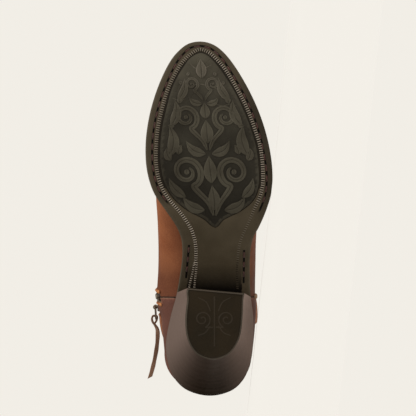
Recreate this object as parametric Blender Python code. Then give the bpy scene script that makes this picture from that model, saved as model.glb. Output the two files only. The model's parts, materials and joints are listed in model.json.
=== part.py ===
"""A western ankle boot for the left foot, lying empty on its outer side.

The boot is drawn as it stands: u runs from heel to toe, v from the inner to the outer side and
w up from the floor, all in millimetres. An empty then lays the whole boot on its outer side.
"""

import math
from collections import namedtuple

import bmesh
import bpy
import numpy as np
from mathutils import Matrix, Vector
from mathutils.bvhtree import BVHTree
from mathutils.geometry import intersect_point_tri

MM = 0.001
GAP = 0.3

# Sole and heel
OUTSOLE_THICK = 4.5
OUTSOLE_BEVEL = 0.7
WELT_THICK = 2.8
INSOLE_THICK = 3.4
INSOLE_CLEARANCE = 0.7
TOP_LIFT_THICK = 6.0
TOP_LIFT_BEVEL = 0.9
HEEL_HOLLOW = 0.05
LENGTH_STEPS = 44
HEEL_STEPS = 16
HEEL_LEVELS = (0.0, 0.2, 0.4, 0.6, 0.8, 1.0)

# Upper
WALL = 2.2
SIDE_STEPS = 13
LASTING_BULGE = 1.2
BULGE_BLEND = 3.0
COLLAR_RISE = 8.0
COLLAR_RISE_DEPTH = 45.0
COUNTER_STEP = 1.4
COUNTER_LAP = 0.9
COUNTER_FOOT = 0.9

# Zip on the inner side
ZIP_SLIT = 7.0
ZIP_TAPE_TOP = -0.9
ZIP_TAPE_THICK = 1.1
ZIP_CHAIN_WIDTH = 4.2
ZIP_CHAIN_TOP = 0.5
SLIT_OVERRUN = 40.0
TAPE_SHORT = 2.0
CHAIN_SHORT = 3.0
ZIP_FOOT = (77.0, 100.0)
ZIP_HEAD = (62.0, 182.0)
SLIDER_AT = 0.90
SLIDER_SIZE = (6.3, 10.0, 1.9)
BRIDGE_BAR = 1.2
BRIDGE_SPAN = 4.2
BRIDGE_POST = 1.6
BRIDGE_ROOT = 0.8
SLIDER_BEVEL = 0.8
EYE_WIRE = 1.0
EYE_NARROWER = 0.7
PULL_LENGTH = 10.5
PULL_WIDTH = 4.6
PULL_THICK = 1.2
PULL_HOLE = (2.6, 3.2)
PULL_END = 1.6
PULL_REST_DIP = 4.0
THONG_WIDTH = 3.2
THONG_THICK = 1.7
KNOT_BEYOND = 2.6

# Outer side
STRAP_AT = 62.0
STRAP_WIDTH = 25.0
STRAP_THICK = 3.0
STRAP_FOOT = 148.0
STRAP_INSIDE_FOOT = 160.0
STRAP_LOOP_RISE = 4.0
STRAP_GAP = 0.5
STRAP_EDGE_DROP = 1.0
PIPING_HEIGHT = 1.3
PIPING_WIDTH = 4.0
PIPING_FOOT = (76.5, 112.0)
PIPING_HEAD = (73.0, 146.0)

Station = namedtuple("Station", "u medial lateral")
Height = namedtuple("Height", "u w")
Section = namedtuple("Section", "back_u back_w top_u top_w middle medial lateral widest crown")

# Plan outline of the outsole: the v of its inner and outer edge along the length
SOLE_OUTLINE = (
    Station(269.5, -5.5, -5.5),
    Station(268.0, -13.6, 2.4),
    Station(264.0, -19.6, 9.0),
    Station(256.0, -26.6, 16.4),
    Station(243.0, -33.5, 24.8),
    Station(226.0, -39.9, 33.6),
    Station(208.0, -44.3, 40.7),
    Station(190.0, -46.2, 45.5),
    Station(172.0, -45.1, 47.9),
    Station(156.0, -40.2, 47.3),
    Station(143.0, -31.5, 43.8),
    Station(131.0, -23.3, 39.0),
    Station(121.0, -19.3, 34.2),
    Station(108.0, -18.5, 32.7),
    Station(92.0, -20.4, 33.2),
    Station(78.0, -22.8, 34.1),
    Station(62.0, -27.0, 36.3),
    Station(42.0, -30.6, 36.6),
    Station(27.0, -29.4, 34.9),
    Station(13.0, -23.7, 29.5),
    Station(4.0, -13.5, 20.0),
    Station(0.0, 3.5, 3.5),
)

# Plan outline of the top lift on the floor
LIFT_OUTLINE = (
    Station(85.0, -14.4, 26.2),
    Station(76.0, -15.4, 26.2),
    Station(62.0, -16.7, 25.6),
    Station(50.0, -15.8, 24.0),
    Station(41.5, -12.6, 20.2),
    Station(35.3, -7.0, 14.3),
    Station(32.0, 3.7, 3.7),
)
LIFT_BREAST = (85.0, 81.2)
SEAT_BREAST = (80.5, 76.9)

# Height of the outsole's underside: seat, arch, flat tread and toe spring
UNDERSIDE = (
    Height(0.0, 57.0),
    Height(20.0, 55.3),
    Height(45.0, 51.4),
    Height(65.0, 46.6),
    Height(80.0, 41.0),
    Height(95.0, 33.6),
    Height(110.0, 24.8),
    Height(125.0, 15.8),
    Height(140.0, 8.2),
    Height(155.0, 3.2),
    Height(168.0, 0.8),
    Height(180.0, 0.0),
    Height(202.0, 0.0),
    Height(217.0, 0.9),
    Height(234.0, 3.4),
    Height(252.0, 7.8),
    Height(269.5, 13.5),
)

# How far the upper's bottom edge lies inside the edge of the sole
MARGIN = (
    Height(0.0, 2.2),
    Height(40.0, 2.0),
    Height(80.0, 1.5),
    Height(112.0, 1.5),
    Height(136.0, 3.6),
    Height(160.0, 6.4),
    Height(200.0, 7.0),
    Height(269.5, 6.3),
)

# Sections of the last. Each is a plane across the boot, from its low or rear point (back) to its
# high or front point (top). A back_w of None rests on the sole. Medial and lateral are half widths
# from the middle, None where the sole's edge alone sets them; widest is the share of the way up at
# which the section is widest; crown above 1 draws its upper half in to a ridge.
SECTIONS = (
    Section(263.2, None, 263.2, None, -5.5, None, None, 0.22, 0.90),
    Section(262.0, None, 262.0, 26.0, -5.5, None, None, 0.22, 0.90),
    Section(258.5, None, 258.5, 31.5, -5.4, None, None, 0.22, 0.90),
    Section(251.0, None, 251.0, 37.0, -5.2, None, None, 0.22, 0.90),
    Section(239.0, None, 239.5, 41.8, -4.6, None, None, 0.22, 0.92),
    Section(221.0, None, 222.5, 46.8, -3.4, None, None, 0.22, 0.96),
    Section(199.0, None, 202.0, 53.6, -1.6, None, None, 0.24, 1.00),
    Section(176.0, None, 182.0, 61.6, 0.2, 40.4, 41.5, 0.26, 1.05),
    Section(152.0, None, 164.5, 70.6, 1.6, 39.8, 39.5, 0.32, 1.10),
    Section(128.0, None, 148.5, 80.8, 2.7, 39.4, 37.6, 0.40, 1.12),
    Section(104.0, None, 134.5, 92.6, 3.3, 39.2, 37.0, 0.42, 1.10),
    Section(80.0, None, 123.5, 105.2, 3.6, 39.0, 37.0, 0.40, 1.06),
    Section(54.0, None, 115.5, 118.0, 3.6, 38.2, 37.0, 0.36, 1.02),
    Section(27.0, None, 110.0, 129.6, 3.5, 36.6, 35.6, 0.28, 1.00),
    Section(9.0, None, 107.0, 138.6, 3.5, 35.4, 34.2, 0.25, 1.00),
    Section(2.2, None, 105.5, 146.0, 3.5, 34.8, 33.6, 0.25, 1.00),
    Section(0.8, 82.0, 104.5, 153.5, 3.6, 34.2, 33.2, 0.28, 1.00),
    Section(3.2, 104.0, 104.2, 161.5, 3.8, 34.2, 33.6, 0.36, 1.00),
    Section(7.0, 128.0, 104.8, 169.5, 4.2, 35.6, 35.4, 0.45, 1.00),
    Section(8.2, 152.0, 106.2, 177.5, 4.6, 38.0, 37.8, 0.49, 0.98),
    Section(6.5, 180.0, 108.5, 186.0, 5.0, 40.4, 40.4, 0.50, 0.96),
)
# How far the inner side stands out beyond its sections in front of the zip
MEDIAL_FULLNESS = (
    Height(0.0, 0.0),
    Height(58.0, 0.0),
    Height(68.0, 3.0),
    Height(77.0, 5.4),
    Height(86.0, 4.6),
    Height(97.0, 3.1),
    Height(118.0, 2.0),
    Height(147.0, 1.9),
    Height(165.0, 0.7),
    Height(182.0, 0.0),
)
FULLNESS_FOOT = 18.0
FULLNESS_LEVELS = (110.0, 180.0)
FULLNESS_AT_COLLAR = 0.35

SECTION_STEPS = 2
LEG_MIDDLE = (55.0, 5.0)

# Side view (u, w) of the counter: its front edge, its dipping top edge and a far rear edge
COUNTER_FRONT_FOOT = 79.0
COUNTER_REAR = -20.0
COUNTER_TOP_EDGE = (
    (77.0, 98.0),
    (64.0, 95.0),
    (46.0, 100.0),
    (28.0, 112.0),
    (12.0, 121.0),
    (COUNTER_REAR, 124.0),
)

# Route of the thong beyond the pull tab, as (u, v) at the height of the slider
THONG_ROUTE = (
    (44.5, -37.6),
    (38.0, -37.4),
    (30.0, -38.2),
    (20.0, -40.0),
    (11.0, -42.2),
    (3.0, -44.6),
)

# How far across the boot the side-view cutters run, in v
MEDIAL_REACH = (-70.0, -15.0)
LATERAL_REACH = (15.0, 80.0)
FULL_REACH = (-70.0, 80.0)
BEYOND_SIDE = 120.0
MOSTLY = 0.8

# Density is in grams per cubic centimetre; the heel is a light core faced with thin layers
Finish = namedtuple("Finish", "colour roughness metallic density")
FINISHES = {
    "rubber": Finish((0.060, 0.050, 0.042), 0.62, 0.0, 1.2),
    "stacked_heel": Finish((0.070, 0.048, 0.040), 0.45, 0.0, 0.6),
    "tan_leather": Finish((0.270, 0.110, 0.052), 0.48, 0.0, 0.9),
    "dark_leather": Finish((0.075, 0.042, 0.032), 0.55, 0.0, 0.9),
    "sock_leather": Finish((0.420, 0.300, 0.190), 0.75, 0.0, 0.9),
    "zip_cloth": Finish((0.080, 0.055, 0.042), 0.90, 0.0, 0.9),
    "aged_metal": Finish((0.330, 0.300, 0.260), 0.38, 1.0, 8.4),
}


def clear_scene():
    for old in list(bpy.data.objects):
        bpy.data.objects.remove(old)


def smooth(knots, values, at):
    """A cubic curve through the knots that never overshoots between them."""
    knots = np.asarray(knots, float)
    values = np.asarray(values, float)
    step = np.diff(knots)
    slope = np.diff(values) / step
    tangent = np.empty_like(values)
    tangent[0] = slope[0]
    tangent[-1] = slope[-1]
    for i in range(1, len(values) - 1):
        before, after = slope[i - 1], slope[i]
        if before * after <= 0:
            tangent[i] = 0.0
        else:
            tangent[i] = 2.0 * before * after / (before + after)
    at = np.clip(np.asarray(at, float), knots[0], knots[-1])
    k = np.clip(np.searchsorted(knots, at, side="right") - 1, 0, len(step) - 1)
    t = (at - knots[k]) / step[k]
    rise = values[k] * (2 * t**3 - 3 * t**2 + 1) + values[k + 1] * (3 * t**2 - 2 * t**3)
    lean = tangent[k] * (t**3 - 2 * t**2 + t) + tangent[k + 1] * (t**3 - t**2)
    return rise + lean * step[k]


def along(table, u):
    return smooth([row.u for row in table], [row.w for row in table], u)


def underside(u):
    return along(UNDERSIDE, u)


def margin(u):
    return along(MARGIN, u)


def rounded(points, steps, closed):
    """A smooth curve through the points, with steps samples from each to the next."""
    points = np.asarray(points, float)
    if closed:
        padded = np.vstack([points[-1:], points, points[:2]])
    else:
        before_first = 2 * points[:1] - points[1:2]
        after_last = 2 * points[-1:] - points[-2:-1]
        padded = np.vstack([before_first, points, after_last])
    curve = []
    for i in range(1, len(padded) - 2):
        before, start, end, after = padded[i - 1 : i + 3]
        span = np.linalg.norm(end - start)
        leave = (end - before) * span / (np.linalg.norm(start - before) + span)
        arrive = (after - start) * span / (np.linalg.norm(after - end) + span)
        for t in np.linspace(0, 1, steps, endpoint=False):
            place = start * (2 * t**3 - 3 * t**2 + 1) + end * (3 * t**2 - 2 * t**3)
            curve.append(place + leave * (t**3 - 2 * t**2 + t) + arrive * (t**3 - t**2))
    if not closed:
        curve.append(points[-1])
    return np.array(curve)


class Outline:
    """A closed plan outline, which tells the v of either side at any u."""

    def __init__(self, loop):
        start = int(np.argmax(loop[:, 0]))
        self.loop = np.roll(loop, -start, axis=0)
        turn = int(np.argmin(self.loop[:, 0]))
        self.toe = self.loop[0, 0]
        self.heel = self.loop[turn, 0]
        self.lateral = self.loop[: turn + 1][::-1]
        self.medial = np.vstack([self.loop[turn:], self.loop[:1]])

    def side(self, name, u):
        rows = getattr(self, name)
        return np.interp(u, rows[:, 0], rows[:, 1])

    def inset(self, distance):
        """The same outline drawn in by distance(u)."""
        ahead = np.roll(self.loop, -1, axis=0) - np.roll(self.loop, 1, axis=0)
        ahead /= np.linalg.norm(ahead, axis=1)[:, None]
        inward = np.column_stack([-ahead[:, 1], ahead[:, 0]])
        away = np.array([distance(u) for u in self.loop[:, 0]])
        return Outline(self.loop + inward * away[:, None])


def outline_of(stations, steps=24):
    """The toe end comes first, then the lateral side to the heel and the medial side back."""
    lateral = [(row.u, row.lateral) for row in stations]
    medial = [(row.u, row.medial) for row in reversed(stations)]
    points = lateral + [p for p in medial if p not in lateral]
    return Outline(rounded(points, steps, closed=True))


def end_spaced(start, end, steps):
    """Values from start to end, close together at both ends for their round stretches."""
    turn = np.linspace(0, math.pi, steps + 1)
    return start + (end - start) * (1 - np.cos(turn)) / 2


def flat_loop(outline, height):
    """Points round an outline at height(u): medial side from heel to toe, then lateral back."""
    us = end_spaced(outline.heel, outline.toe, LENGTH_STEPS)
    medial = [(u, outline.side("medial", u), height(u)) for u in us]
    lateral = [(u, outline.side("lateral", u), height(u)) for u in us]
    return medial + lateral[::-1]


SOLE = outline_of(SOLE_OUTLINE)
LIFT = outline_of(LIFT_OUTLINE)
FEATHER = SOLE.inset(margin)


def welt_foot(u):
    return underside(u) + OUTSOLE_THICK + GAP


def welt_top(u):
    return welt_foot(u) + WELT_THICK


def upper_foot(u):
    return welt_top(u) + GAP


def material(name):
    finish = FINISHES[name]
    made = bpy.data.materials.get(name) or bpy.data.materials.new(name)
    made.use_nodes = True
    shader = made.node_tree.nodes["Principled BSDF"]
    shader.inputs["Base Color"].default_value = (*finish.colour, 1.0)
    shader.inputs["Roughness"].default_value = finish.roughness
    shader.inputs["Metallic"].default_value = finish.metallic
    return made


def add_object(name, mesh, finish, parent):
    made = bpy.data.objects.new(name, mesh)
    bpy.context.scene.collection.objects.link(made)
    made.parent = parent
    mesh.materials.append(material(finish))
    mesh.shade_smooth()
    mesh.set_sharp_from_angle(angle=math.radians(40))
    return made


def mesh_from(name, points, faces):
    """A closed mesh from millimetre points: meeting points are merged and faces turned out."""
    bm = bmesh.new()
    verts = [bm.verts.new(Vector(p) * MM) for p in points]
    for face in faces:
        bm.faces.new([verts[i] for i in face])
    bmesh.ops.remove_doubles(bm, verts=bm.verts, dist=0.01 * MM)
    bmesh.ops.dissolve_degenerate(bm, edges=bm.edges, dist=0.01 * MM)
    bmesh.ops.recalc_face_normals(bm, faces=bm.faces)
    mesh = bpy.data.meshes.new(name)
    bm.to_mesh(mesh)
    bm.free()
    return mesh


def loft(name, loops, ring=False):
    """A skin over loops of equal length. A ring joins last to first; otherwise both ends are
    closed by rungs from the medial to the lateral half of the loop."""
    count = len(loops[0])
    points = [p for loop in loops for p in loop]
    faces = []
    levels = len(loops) if ring else len(loops) - 1
    for level in range(levels):
        low = level * count
        high = (level + 1) % len(loops) * count
        for i in range(count):
            j = (i + 1) % count
            faces.append((low + i, low + j, high + j, high + i))
    if not ring:
        for base in (0, (len(loops) - 1) * count):
            for i in range(count // 2 - 1):
                far = count - 1 - i
                faces.append((base + i, base + i + 1, base + far - 1, base + far))
    return mesh_from(name, points, faces)


def make_outsole(parent):
    drawn_in = SOLE.inset(lambda u: OUTSOLE_BEVEL)
    loops = [
        flat_loop(drawn_in, underside),
        flat_loop(SOLE, lambda u: underside(u) + OUTSOLE_BEVEL),
        flat_loop(SOLE, lambda u: underside(u) + OUTSOLE_THICK),
    ]
    return add_object("outsole", loft("outsole", loops), "rubber", parent)


def make_welt(parent):
    outer = SOLE.inset(lambda u: GAP)
    inner = FEATHER.inset(lambda u: WALL + GAP)
    loops = [
        flat_loop(inner, welt_foot),
        flat_loop(outer, welt_foot),
        flat_loop(outer, welt_top),
        flat_loop(inner, welt_top),
    ]
    return add_object("welt", loft("welt", loops, ring=True), "dark_leather", parent)


def make_insole(parent):
    plate = FEATHER.inset(lambda u: WALL + INSOLE_CLEARANCE)
    loops = [flat_loop(plate, welt_foot), flat_loop(plate, lambda u: welt_foot(u) + INSOLE_THICK)]
    return add_object("insole", loft("insole", loops), "sock_leather", parent)


def heel_loop(outline, breast, height):
    """The part of an outline behind its breast line, which slants from breast[0] to breast[1]."""
    shares = 1 - np.cos(np.linspace(0, math.pi / 2, HEEL_STEPS + 1))
    sides = []
    for name, front in zip(("medial", "lateral"), breast):
        us = outline.heel + (front - outline.heel) * shares
        sides.append([(u, outline.side(name, u), height(u)) for u in us])
    return sides[0] + sides[1][::-1]


def make_heel(parent):
    seat = np.array(heel_loop(SOLE, SEAT_BREAST, lambda u: underside(u) - GAP))
    foot = np.array(heel_loop(LIFT, LIFT_BREAST, lambda u: TOP_LIFT_THICK + GAP))
    loops = []
    for level in HEEL_LEVELS:
        taper = level + HEEL_HOLLOW * math.sin(math.pi * level)
        loop = seat + (foot - seat) * taper
        loop[:, 2] = seat[:, 2] + (foot[:, 2] - seat[:, 2]) * level
        loops.append(loop)
    return add_object("heel_block", loft("heel_block", loops), "stacked_heel", parent)


def make_top_lift(parent):
    drawn_in = LIFT.inset(lambda u: TOP_LIFT_BEVEL)
    front = tuple(u - TOP_LIFT_BEVEL for u in LIFT_BREAST)
    loops = [
        heel_loop(drawn_in, front, lambda u: 0.0),
        heel_loop(LIFT, LIFT_BREAST, lambda u: TOP_LIFT_BEVEL),
        heel_loop(LIFT, LIFT_BREAST, lambda u: TOP_LIFT_THICK),
    ]
    return add_object("top_lift", loft("top_lift", loops), "rubber", parent)


def soft_larger(a, b):
    """The larger of two sizes, with the change from one to the other eased."""
    return (a + b + math.hypot(a - b, BULGE_BLEND)) / 2 - BULGE_BLEND / 2


def filled_sections():
    """The section table with the heights that follow the sole worked out."""
    rows = []
    for row in SECTIONS:
        back_w = upper_foot(row.back_u) if row.back_w is None else row.back_w
        top_w = back_w if row.top_w is None else row.top_w
        halves = {"medial": row.medial or 0.0, "lateral": row.lateral or 0.0}
        rows.append(row._replace(back_w=back_w, top_w=top_w, **halves))
    return rows


def fullness(u, w):
    """The inner side's fullness: none at the sole, all at the ankle and less towards the collar."""
    above_sole = np.clip((w - upper_foot(u)) / FULLNESS_FOOT, 0.0, 1.0)
    start, end = FULLNESS_LEVELS
    towards_collar = np.clip((w - start) / (end - start), 0.0, 1.0)
    return float(along(MEDIAL_FULLNESS, u) * above_sole * (1 - (1 - FULLNESS_AT_COLLAR) * towards_collar))


def section_points(row, on_sole):
    """One section from the medial bottom edge over the top to the lateral bottom edge."""
    back = np.array([row.back_u, row.back_w])
    top = np.array([row.top_u, row.top_w])
    sides = []
    for name, sign in (("medial", -1.0), ("lateral", 1.0)):
        edge = abs(FEATHER.side(name, row.back_u) - row.middle) if on_sole else 0.0
        half = soft_larger(getattr(row, name), edge + LASTING_BULGE)
        if not on_sole:
            half = getattr(row, name)
        first = math.asin(min(1.0, edge / half))
        points = []
        for angle in np.linspace(first, math.pi, SIDE_STEPS + 1):
            turn = math.cos(angle)
            if angle <= math.pi / 2:
                up = row.widest * (1 - turn / math.cos(first))
                out = half * math.sin(angle)
            else:
                up = row.widest - (1 - row.widest) * turn
                out = half * max(0.0, math.sin(angle)) ** row.crown
            u, w = back + (top - back) * up
            if name == "medial":
                out *= 1 + fullness(u, w) / half
            rise = COLLAR_RISE * math.sin(angle) ** 2 * collar_share(row)
            points.append((u, row.middle + sign * out, w + rise))
        sides.append(points)
    return sides[0] + sides[1][::-1][1:]


def collar_share(row):
    """How much of the collar's side rise a section takes: all at the collar, none well below."""
    collar = SECTIONS[-1]
    below = (collar.top_w + collar.back_w - row.top_w - row.back_w) / 2
    share = max(0.0, 1 - below / COLLAR_RISE_DEPTH)
    return share * share


def last_sheet():
    """The outer skin of the upper as an open mesh from the bottom edge to the collar."""
    rows = filled_sections()
    places = np.arange(len(rows))
    heel_row = next(i for i, row in enumerate(SECTIONS) if row.back_w is not None) - 1
    steps = np.linspace(0, len(rows) - 1, SECTION_STEPS * (len(rows) - 1) + 1)
    columns = {}
    for name in Section._fields:
        columns[name] = smooth(places, [getattr(row, name) for row in rows], steps)
    grid = []
    for i, step in enumerate(steps):
        row = Section(*(float(columns[name][i]) for name in Section._fields))
        on_sole = step < heel_row
        if step <= heel_row:
            row = row._replace(back_w=float(upper_foot(row.back_u)))
        if i == 0:
            grid.append([(row.back_u, row.middle, row.back_w)] * (2 * SIDE_STEPS + 1))
        else:
            grid.append(section_points(row, on_sole))
    bm = bmesh.new()
    verts = [[bm.verts.new(p) for p in line] for line in grid]
    for low, high in zip(verts, verts[1:]):
        for i in range(len(low) - 1):
            bm.faces.new((low[i], low[i + 1], high[i + 1], high[i]))
    bmesh.ops.remove_doubles(bm, verts=bm.verts, dist=0.01)
    bmesh.ops.dissolve_degenerate(bm, edges=bm.edges, dist=0.01)
    bmesh.ops.triangulate(bm, faces=bm.faces)
    bmesh.ops.recalc_face_normals(bm, faces=bm.faces)
    bm.normal_update()
    highest = max(bm.faces, key=lambda f: f.calc_center_median().z)
    spot = highest.calc_center_median()
    outward = spot - Vector((*LEG_MIDDLE, spot.z))
    if highest.normal.dot(outward) < 0:
        bmesh.ops.reverse_faces(bm, faces=bm.faces)
    bm.normal_update()
    return bm


def shell_mesh(name, sheet, inner, outer):
    """A closed wall between two offsets of the upper's skin."""
    sheet.verts.index_update()
    count = len(sheet.verts)
    points = [v.co + v.normal * outer for v in sheet.verts] + [v.co + v.normal * inner for v in sheet.verts]
    faces = []
    for face in sheet.faces:
        corners = [v.index for v in face.verts]
        faces.append(corners)
        faces.append([i + count for i in reversed(corners)])
    for edge in sheet.edges:
        if edge.is_boundary:
            a, b = (v.index for v in edge.verts)
            faces.append((a, b, b + count, a + count))
    return mesh_from(name, points, faces)


def prism(name, outline, reach, parent):
    """A cutter: a side-view outline (u, w) run across the boot over a reach in v."""
    near, far = reach
    count = len(outline)
    points = [(u, near, w) for u, w in outline] + [(u, far, w) for u, w in outline]
    faces = [tuple(range(count)), tuple(range(2 * count - 1, count - 1, -1))]
    for i in range(count):
        j = (i + 1) % count
        faces.append((i, j, count + j, count + i))
    return hidden(mesh_from(name, points, faces), parent)


def hidden(mesh, parent):
    """A form that only shapes other pieces."""
    guide = bpy.data.objects.new(mesh.name, mesh)
    bpy.context.scene.collection.objects.link(guide)
    guide.parent = parent
    guide.hide_render = True
    guide.display_type = "WIRE"
    return guide


def boolean(target, cutter, operation):
    cut = target.modifiers.new(cutter.name, "BOOLEAN")
    cut.operation = operation
    cut.object = cutter
    cut.solver = "EXACT"


def strip(foot, head, width):
    """A straight side-view strip of this width from foot to head."""
    foot, head = np.array(foot), np.array(head)
    ahead = (head - foot) / np.linalg.norm(head - foot)
    across = np.array([ahead[1], -ahead[0]]) * width / 2
    return [tuple(foot - across), tuple(foot + across), tuple(head + across), tuple(head - across)]


def beyond(foot, head, extra):
    """The head of a strip carried on by extra past its own end."""
    foot, head = np.array(foot), np.array(head)
    return tuple(head + (head - foot) / np.linalg.norm(head - foot) * extra)


def make_upper(parent, sheet):
    upper = add_object("upper", shell_mesh("upper", sheet, -WALL, 0.0), "tan_leather", parent)
    counter = hidden(shell_mesh("counter_form", sheet, -COUNTER_LAP, COUNTER_STEP), parent)
    top_edge = rounded(COUNTER_TOP_EDGE, 5, closed=False)
    low_us = np.linspace(COUNTER_REAR, COUNTER_FRONT_FOOT, 16)
    low_edge = [(u, float(upper_foot(max(u, 0.0))) + COUNTER_FOOT) for u in low_us]
    cut = prism("counter_cut", low_edge + [tuple(p) for p in top_edge], FULL_REACH, parent)
    boolean(counter, cut, "INTERSECT")
    boolean(upper, counter, "UNION")
    over_collar = beyond(ZIP_FOOT, ZIP_HEAD, SLIT_OVERRUN)
    slit = prism("zip_slit", strip(ZIP_FOOT, over_collar, ZIP_SLIT), MEDIAL_REACH, parent)
    boolean(upper, slit, "DIFFERENCE")


def make_zip(parent, sheet):
    """A cloth tape at the bottom of the slit, with the closed chain on it."""
    tape_mesh = shell_mesh("zip_tape", sheet, ZIP_TAPE_TOP - ZIP_TAPE_THICK, ZIP_TAPE_TOP)
    tape = add_object("zip_tape", tape_mesh, "zip_cloth", parent)
    tape_foot = beyond(ZIP_HEAD, ZIP_FOOT, -GAP)
    tape_head = beyond(ZIP_FOOT, ZIP_HEAD, -TAPE_SHORT)
    tape_cut = prism("tape_cut", strip(tape_foot, tape_head, ZIP_SLIT - 2 * GAP), MEDIAL_REACH, parent)
    boolean(tape, tape_cut, "INTERSECT")
    chain_mesh = shell_mesh("zip_chain", sheet, ZIP_TAPE_TOP + GAP, ZIP_CHAIN_TOP)
    chain = add_object("zip_chain", chain_mesh, "aged_metal", parent)
    chain_foot = beyond(ZIP_HEAD, ZIP_FOOT, -CHAIN_SHORT)
    chain_head = beyond(ZIP_FOOT, ZIP_HEAD, -CHAIN_SHORT)
    chain_cut = prism("chain_cut", strip(chain_foot, chain_head, ZIP_CHAIN_WIDTH), MEDIAL_REACH, parent)
    boolean(chain, chain_cut, "INTERSECT")


def make_piping(parent, sheet):
    mesh = shell_mesh("side_piping", sheet, GAP, GAP + PIPING_HEIGHT)
    piping = add_object("side_piping", mesh, "tan_leather", parent)
    cut = prism("piping_cut", strip(PIPING_FOOT, PIPING_HEAD, PIPING_WIDTH), LATERAL_REACH, parent)
    boolean(piping, cut, "INTERSECT")


def surface_point(tree, u, w, sign):
    """The upper's skin at a side-view place, with its outward normal; sign -1 is the medial side."""
    start = Vector((u, sign * BEYOND_SIDE, w))
    place, normal, _, _ = tree.ray_cast(start, Vector((0.0, -sign, 0.0)))
    if normal.y * sign < 0:
        normal = -normal
    return place, normal


def make_pull_strap(parent, tree):
    """A band over the collar: up the outer face, round above the edge and down the inside."""
    collar = SECTIONS[-1]
    edge = (collar.top_w + collar.back_w) / 2 + COLLAR_RISE - STRAP_EDGE_DROP
    us = np.linspace(STRAP_AT - STRAP_WIDTH / 2, STRAP_AT + STRAP_WIDTH / 2, 7)
    outside_ws = np.linspace(STRAP_FOOT, edge, 7)
    inside_ws = np.linspace(edge, STRAP_INSIDE_FOOT, 5)
    inner_radius = WALL / 2 + STRAP_GAP
    near, far = [], []
    for u in us:
        near_line, far_line = [], []
        for w in outside_ws:
            place, normal = surface_point(tree, u, min(w, edge), 1.0)
            near_line.append(place + normal * STRAP_GAP)
            far_line.append(place + normal * (STRAP_GAP + STRAP_THICK))
        place, normal = surface_point(tree, u, edge, 1.0)
        centre = place - normal * WALL / 2
        for turn in np.linspace(0, math.pi, 9)[1:-1]:
            spoke = normal * math.cos(turn) + Vector((0, 0, 1)) * math.sin(turn)
            lift = Vector((0, 0, STRAP_LOOP_RISE * math.sin(turn)))
            near_line.append(centre + spoke * inner_radius + lift)
            far_line.append(centre + spoke * (inner_radius + STRAP_THICK) + lift)
        for w in inside_ws:
            place, normal = surface_point(tree, u, w, 1.0)
            near_line.append(place - normal * (WALL + STRAP_GAP))
            far_line.append(place - normal * (WALL + STRAP_GAP + STRAP_THICK))
        near.append(near_line)
        far.append(far_line)
    add_object("pull_strap", slab("pull_strap", near, far), "tan_leather", parent)


def slab(name, near, far):
    """A closed solid between two matching grids of points."""
    rows, columns = len(near), len(near[0])
    points = [p for line in near for p in line] + [p for line in far for p in line]
    back = rows * columns
    faces = []
    for i in range(rows - 1):
        for j in range(columns - 1):
            a, b = i * columns + j, (i + 1) * columns + j
            faces.append((a, a + 1, b + 1, b))
            faces.append((back + a, back + b, back + b + 1, back + a + 1))
    rim = [(0, j) for j in range(columns - 1)] + [(i, columns - 1) for i in range(rows - 1)]
    rim += [(rows - 1, j) for j in range(columns - 1, 0, -1)] + [(i, 0) for i in range(rows - 1, 0, -1)]
    for (i, j), (k, l) in zip(rim, rim[1:] + rim[:1]):
        a, b = i * columns + j, k * columns + l
        faces.append((a, b, back + b, back + a))
    return mesh_from(name, points, faces)


def zip_frame(tree):
    """Axes at the slider: to the heel, down the zip towards the sole, and out of the leather."""
    foot, head = np.array(ZIP_FOOT), np.array(ZIP_HEAD)
    ahead = (head - foot) / np.linalg.norm(head - foot)
    across = np.array([ahead[1], -ahead[0]])
    middle = foot + (head - foot) * SLIDER_AT
    half_u, half_w = SLIDER_SIZE[0] / 2, SLIDER_SIZE[1] / 2
    place, _ = surface_point(tree, *middle, -1.0)
    low, _ = surface_point(tree, *(middle - ahead * half_w), -1.0)
    high, _ = surface_point(tree, *(middle + ahead * half_w), -1.0)
    toe_edge, _ = surface_point(tree, *(middle + across * half_u), -1.0)
    heel_edge, _ = surface_point(tree, *(middle - across * half_u), -1.0)
    down = (low - high).normalized()
    out = (heel_edge - toe_edge).cross(down).normalized()
    heelward = down.cross(out)
    frame = Matrix((heelward, down, out)).transposed().to_4x4()
    frame.translation = place
    return frame


def box_points(low, high):
    return [(x, y, z) for x in (low[0], high[0]) for y in (low[1], high[1]) for z in (low[2], high[2])]


BOX_FACES = ((0, 1, 3, 2), (4, 6, 7, 5), (0, 4, 5, 1), (2, 3, 7, 6), (0, 2, 6, 4), (1, 5, 7, 3))


def box_mesh(name, low, high):
    return mesh_from(name, box_points(low, high), BOX_FACES)


def placed(guide, frame):
    guide.matrix_local = Matrix.LocRotScale(frame.translation * MM, frame.to_quaternion(), None)
    return guide


def bevelled(piece, width, segments):
    bevel = piece.modifiers.new("soft_edges", "BEVEL")
    bevel.width = width * MM
    bevel.segments = segments
    bevel.limit_method = "ANGLE"


SLIDER_FOOT = ZIP_CHAIN_TOP + GAP
PLATE_TOP = SLIDER_FOOT + SLIDER_SIZE[2]
EYE_HOLE = BRIDGE_BAR / 2 + GAP
EYE_OUTER = EYE_HOLE + EYE_WIRE
HINGE_HEIGHT = PLATE_TOP + EYE_OUTER + GAP


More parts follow.
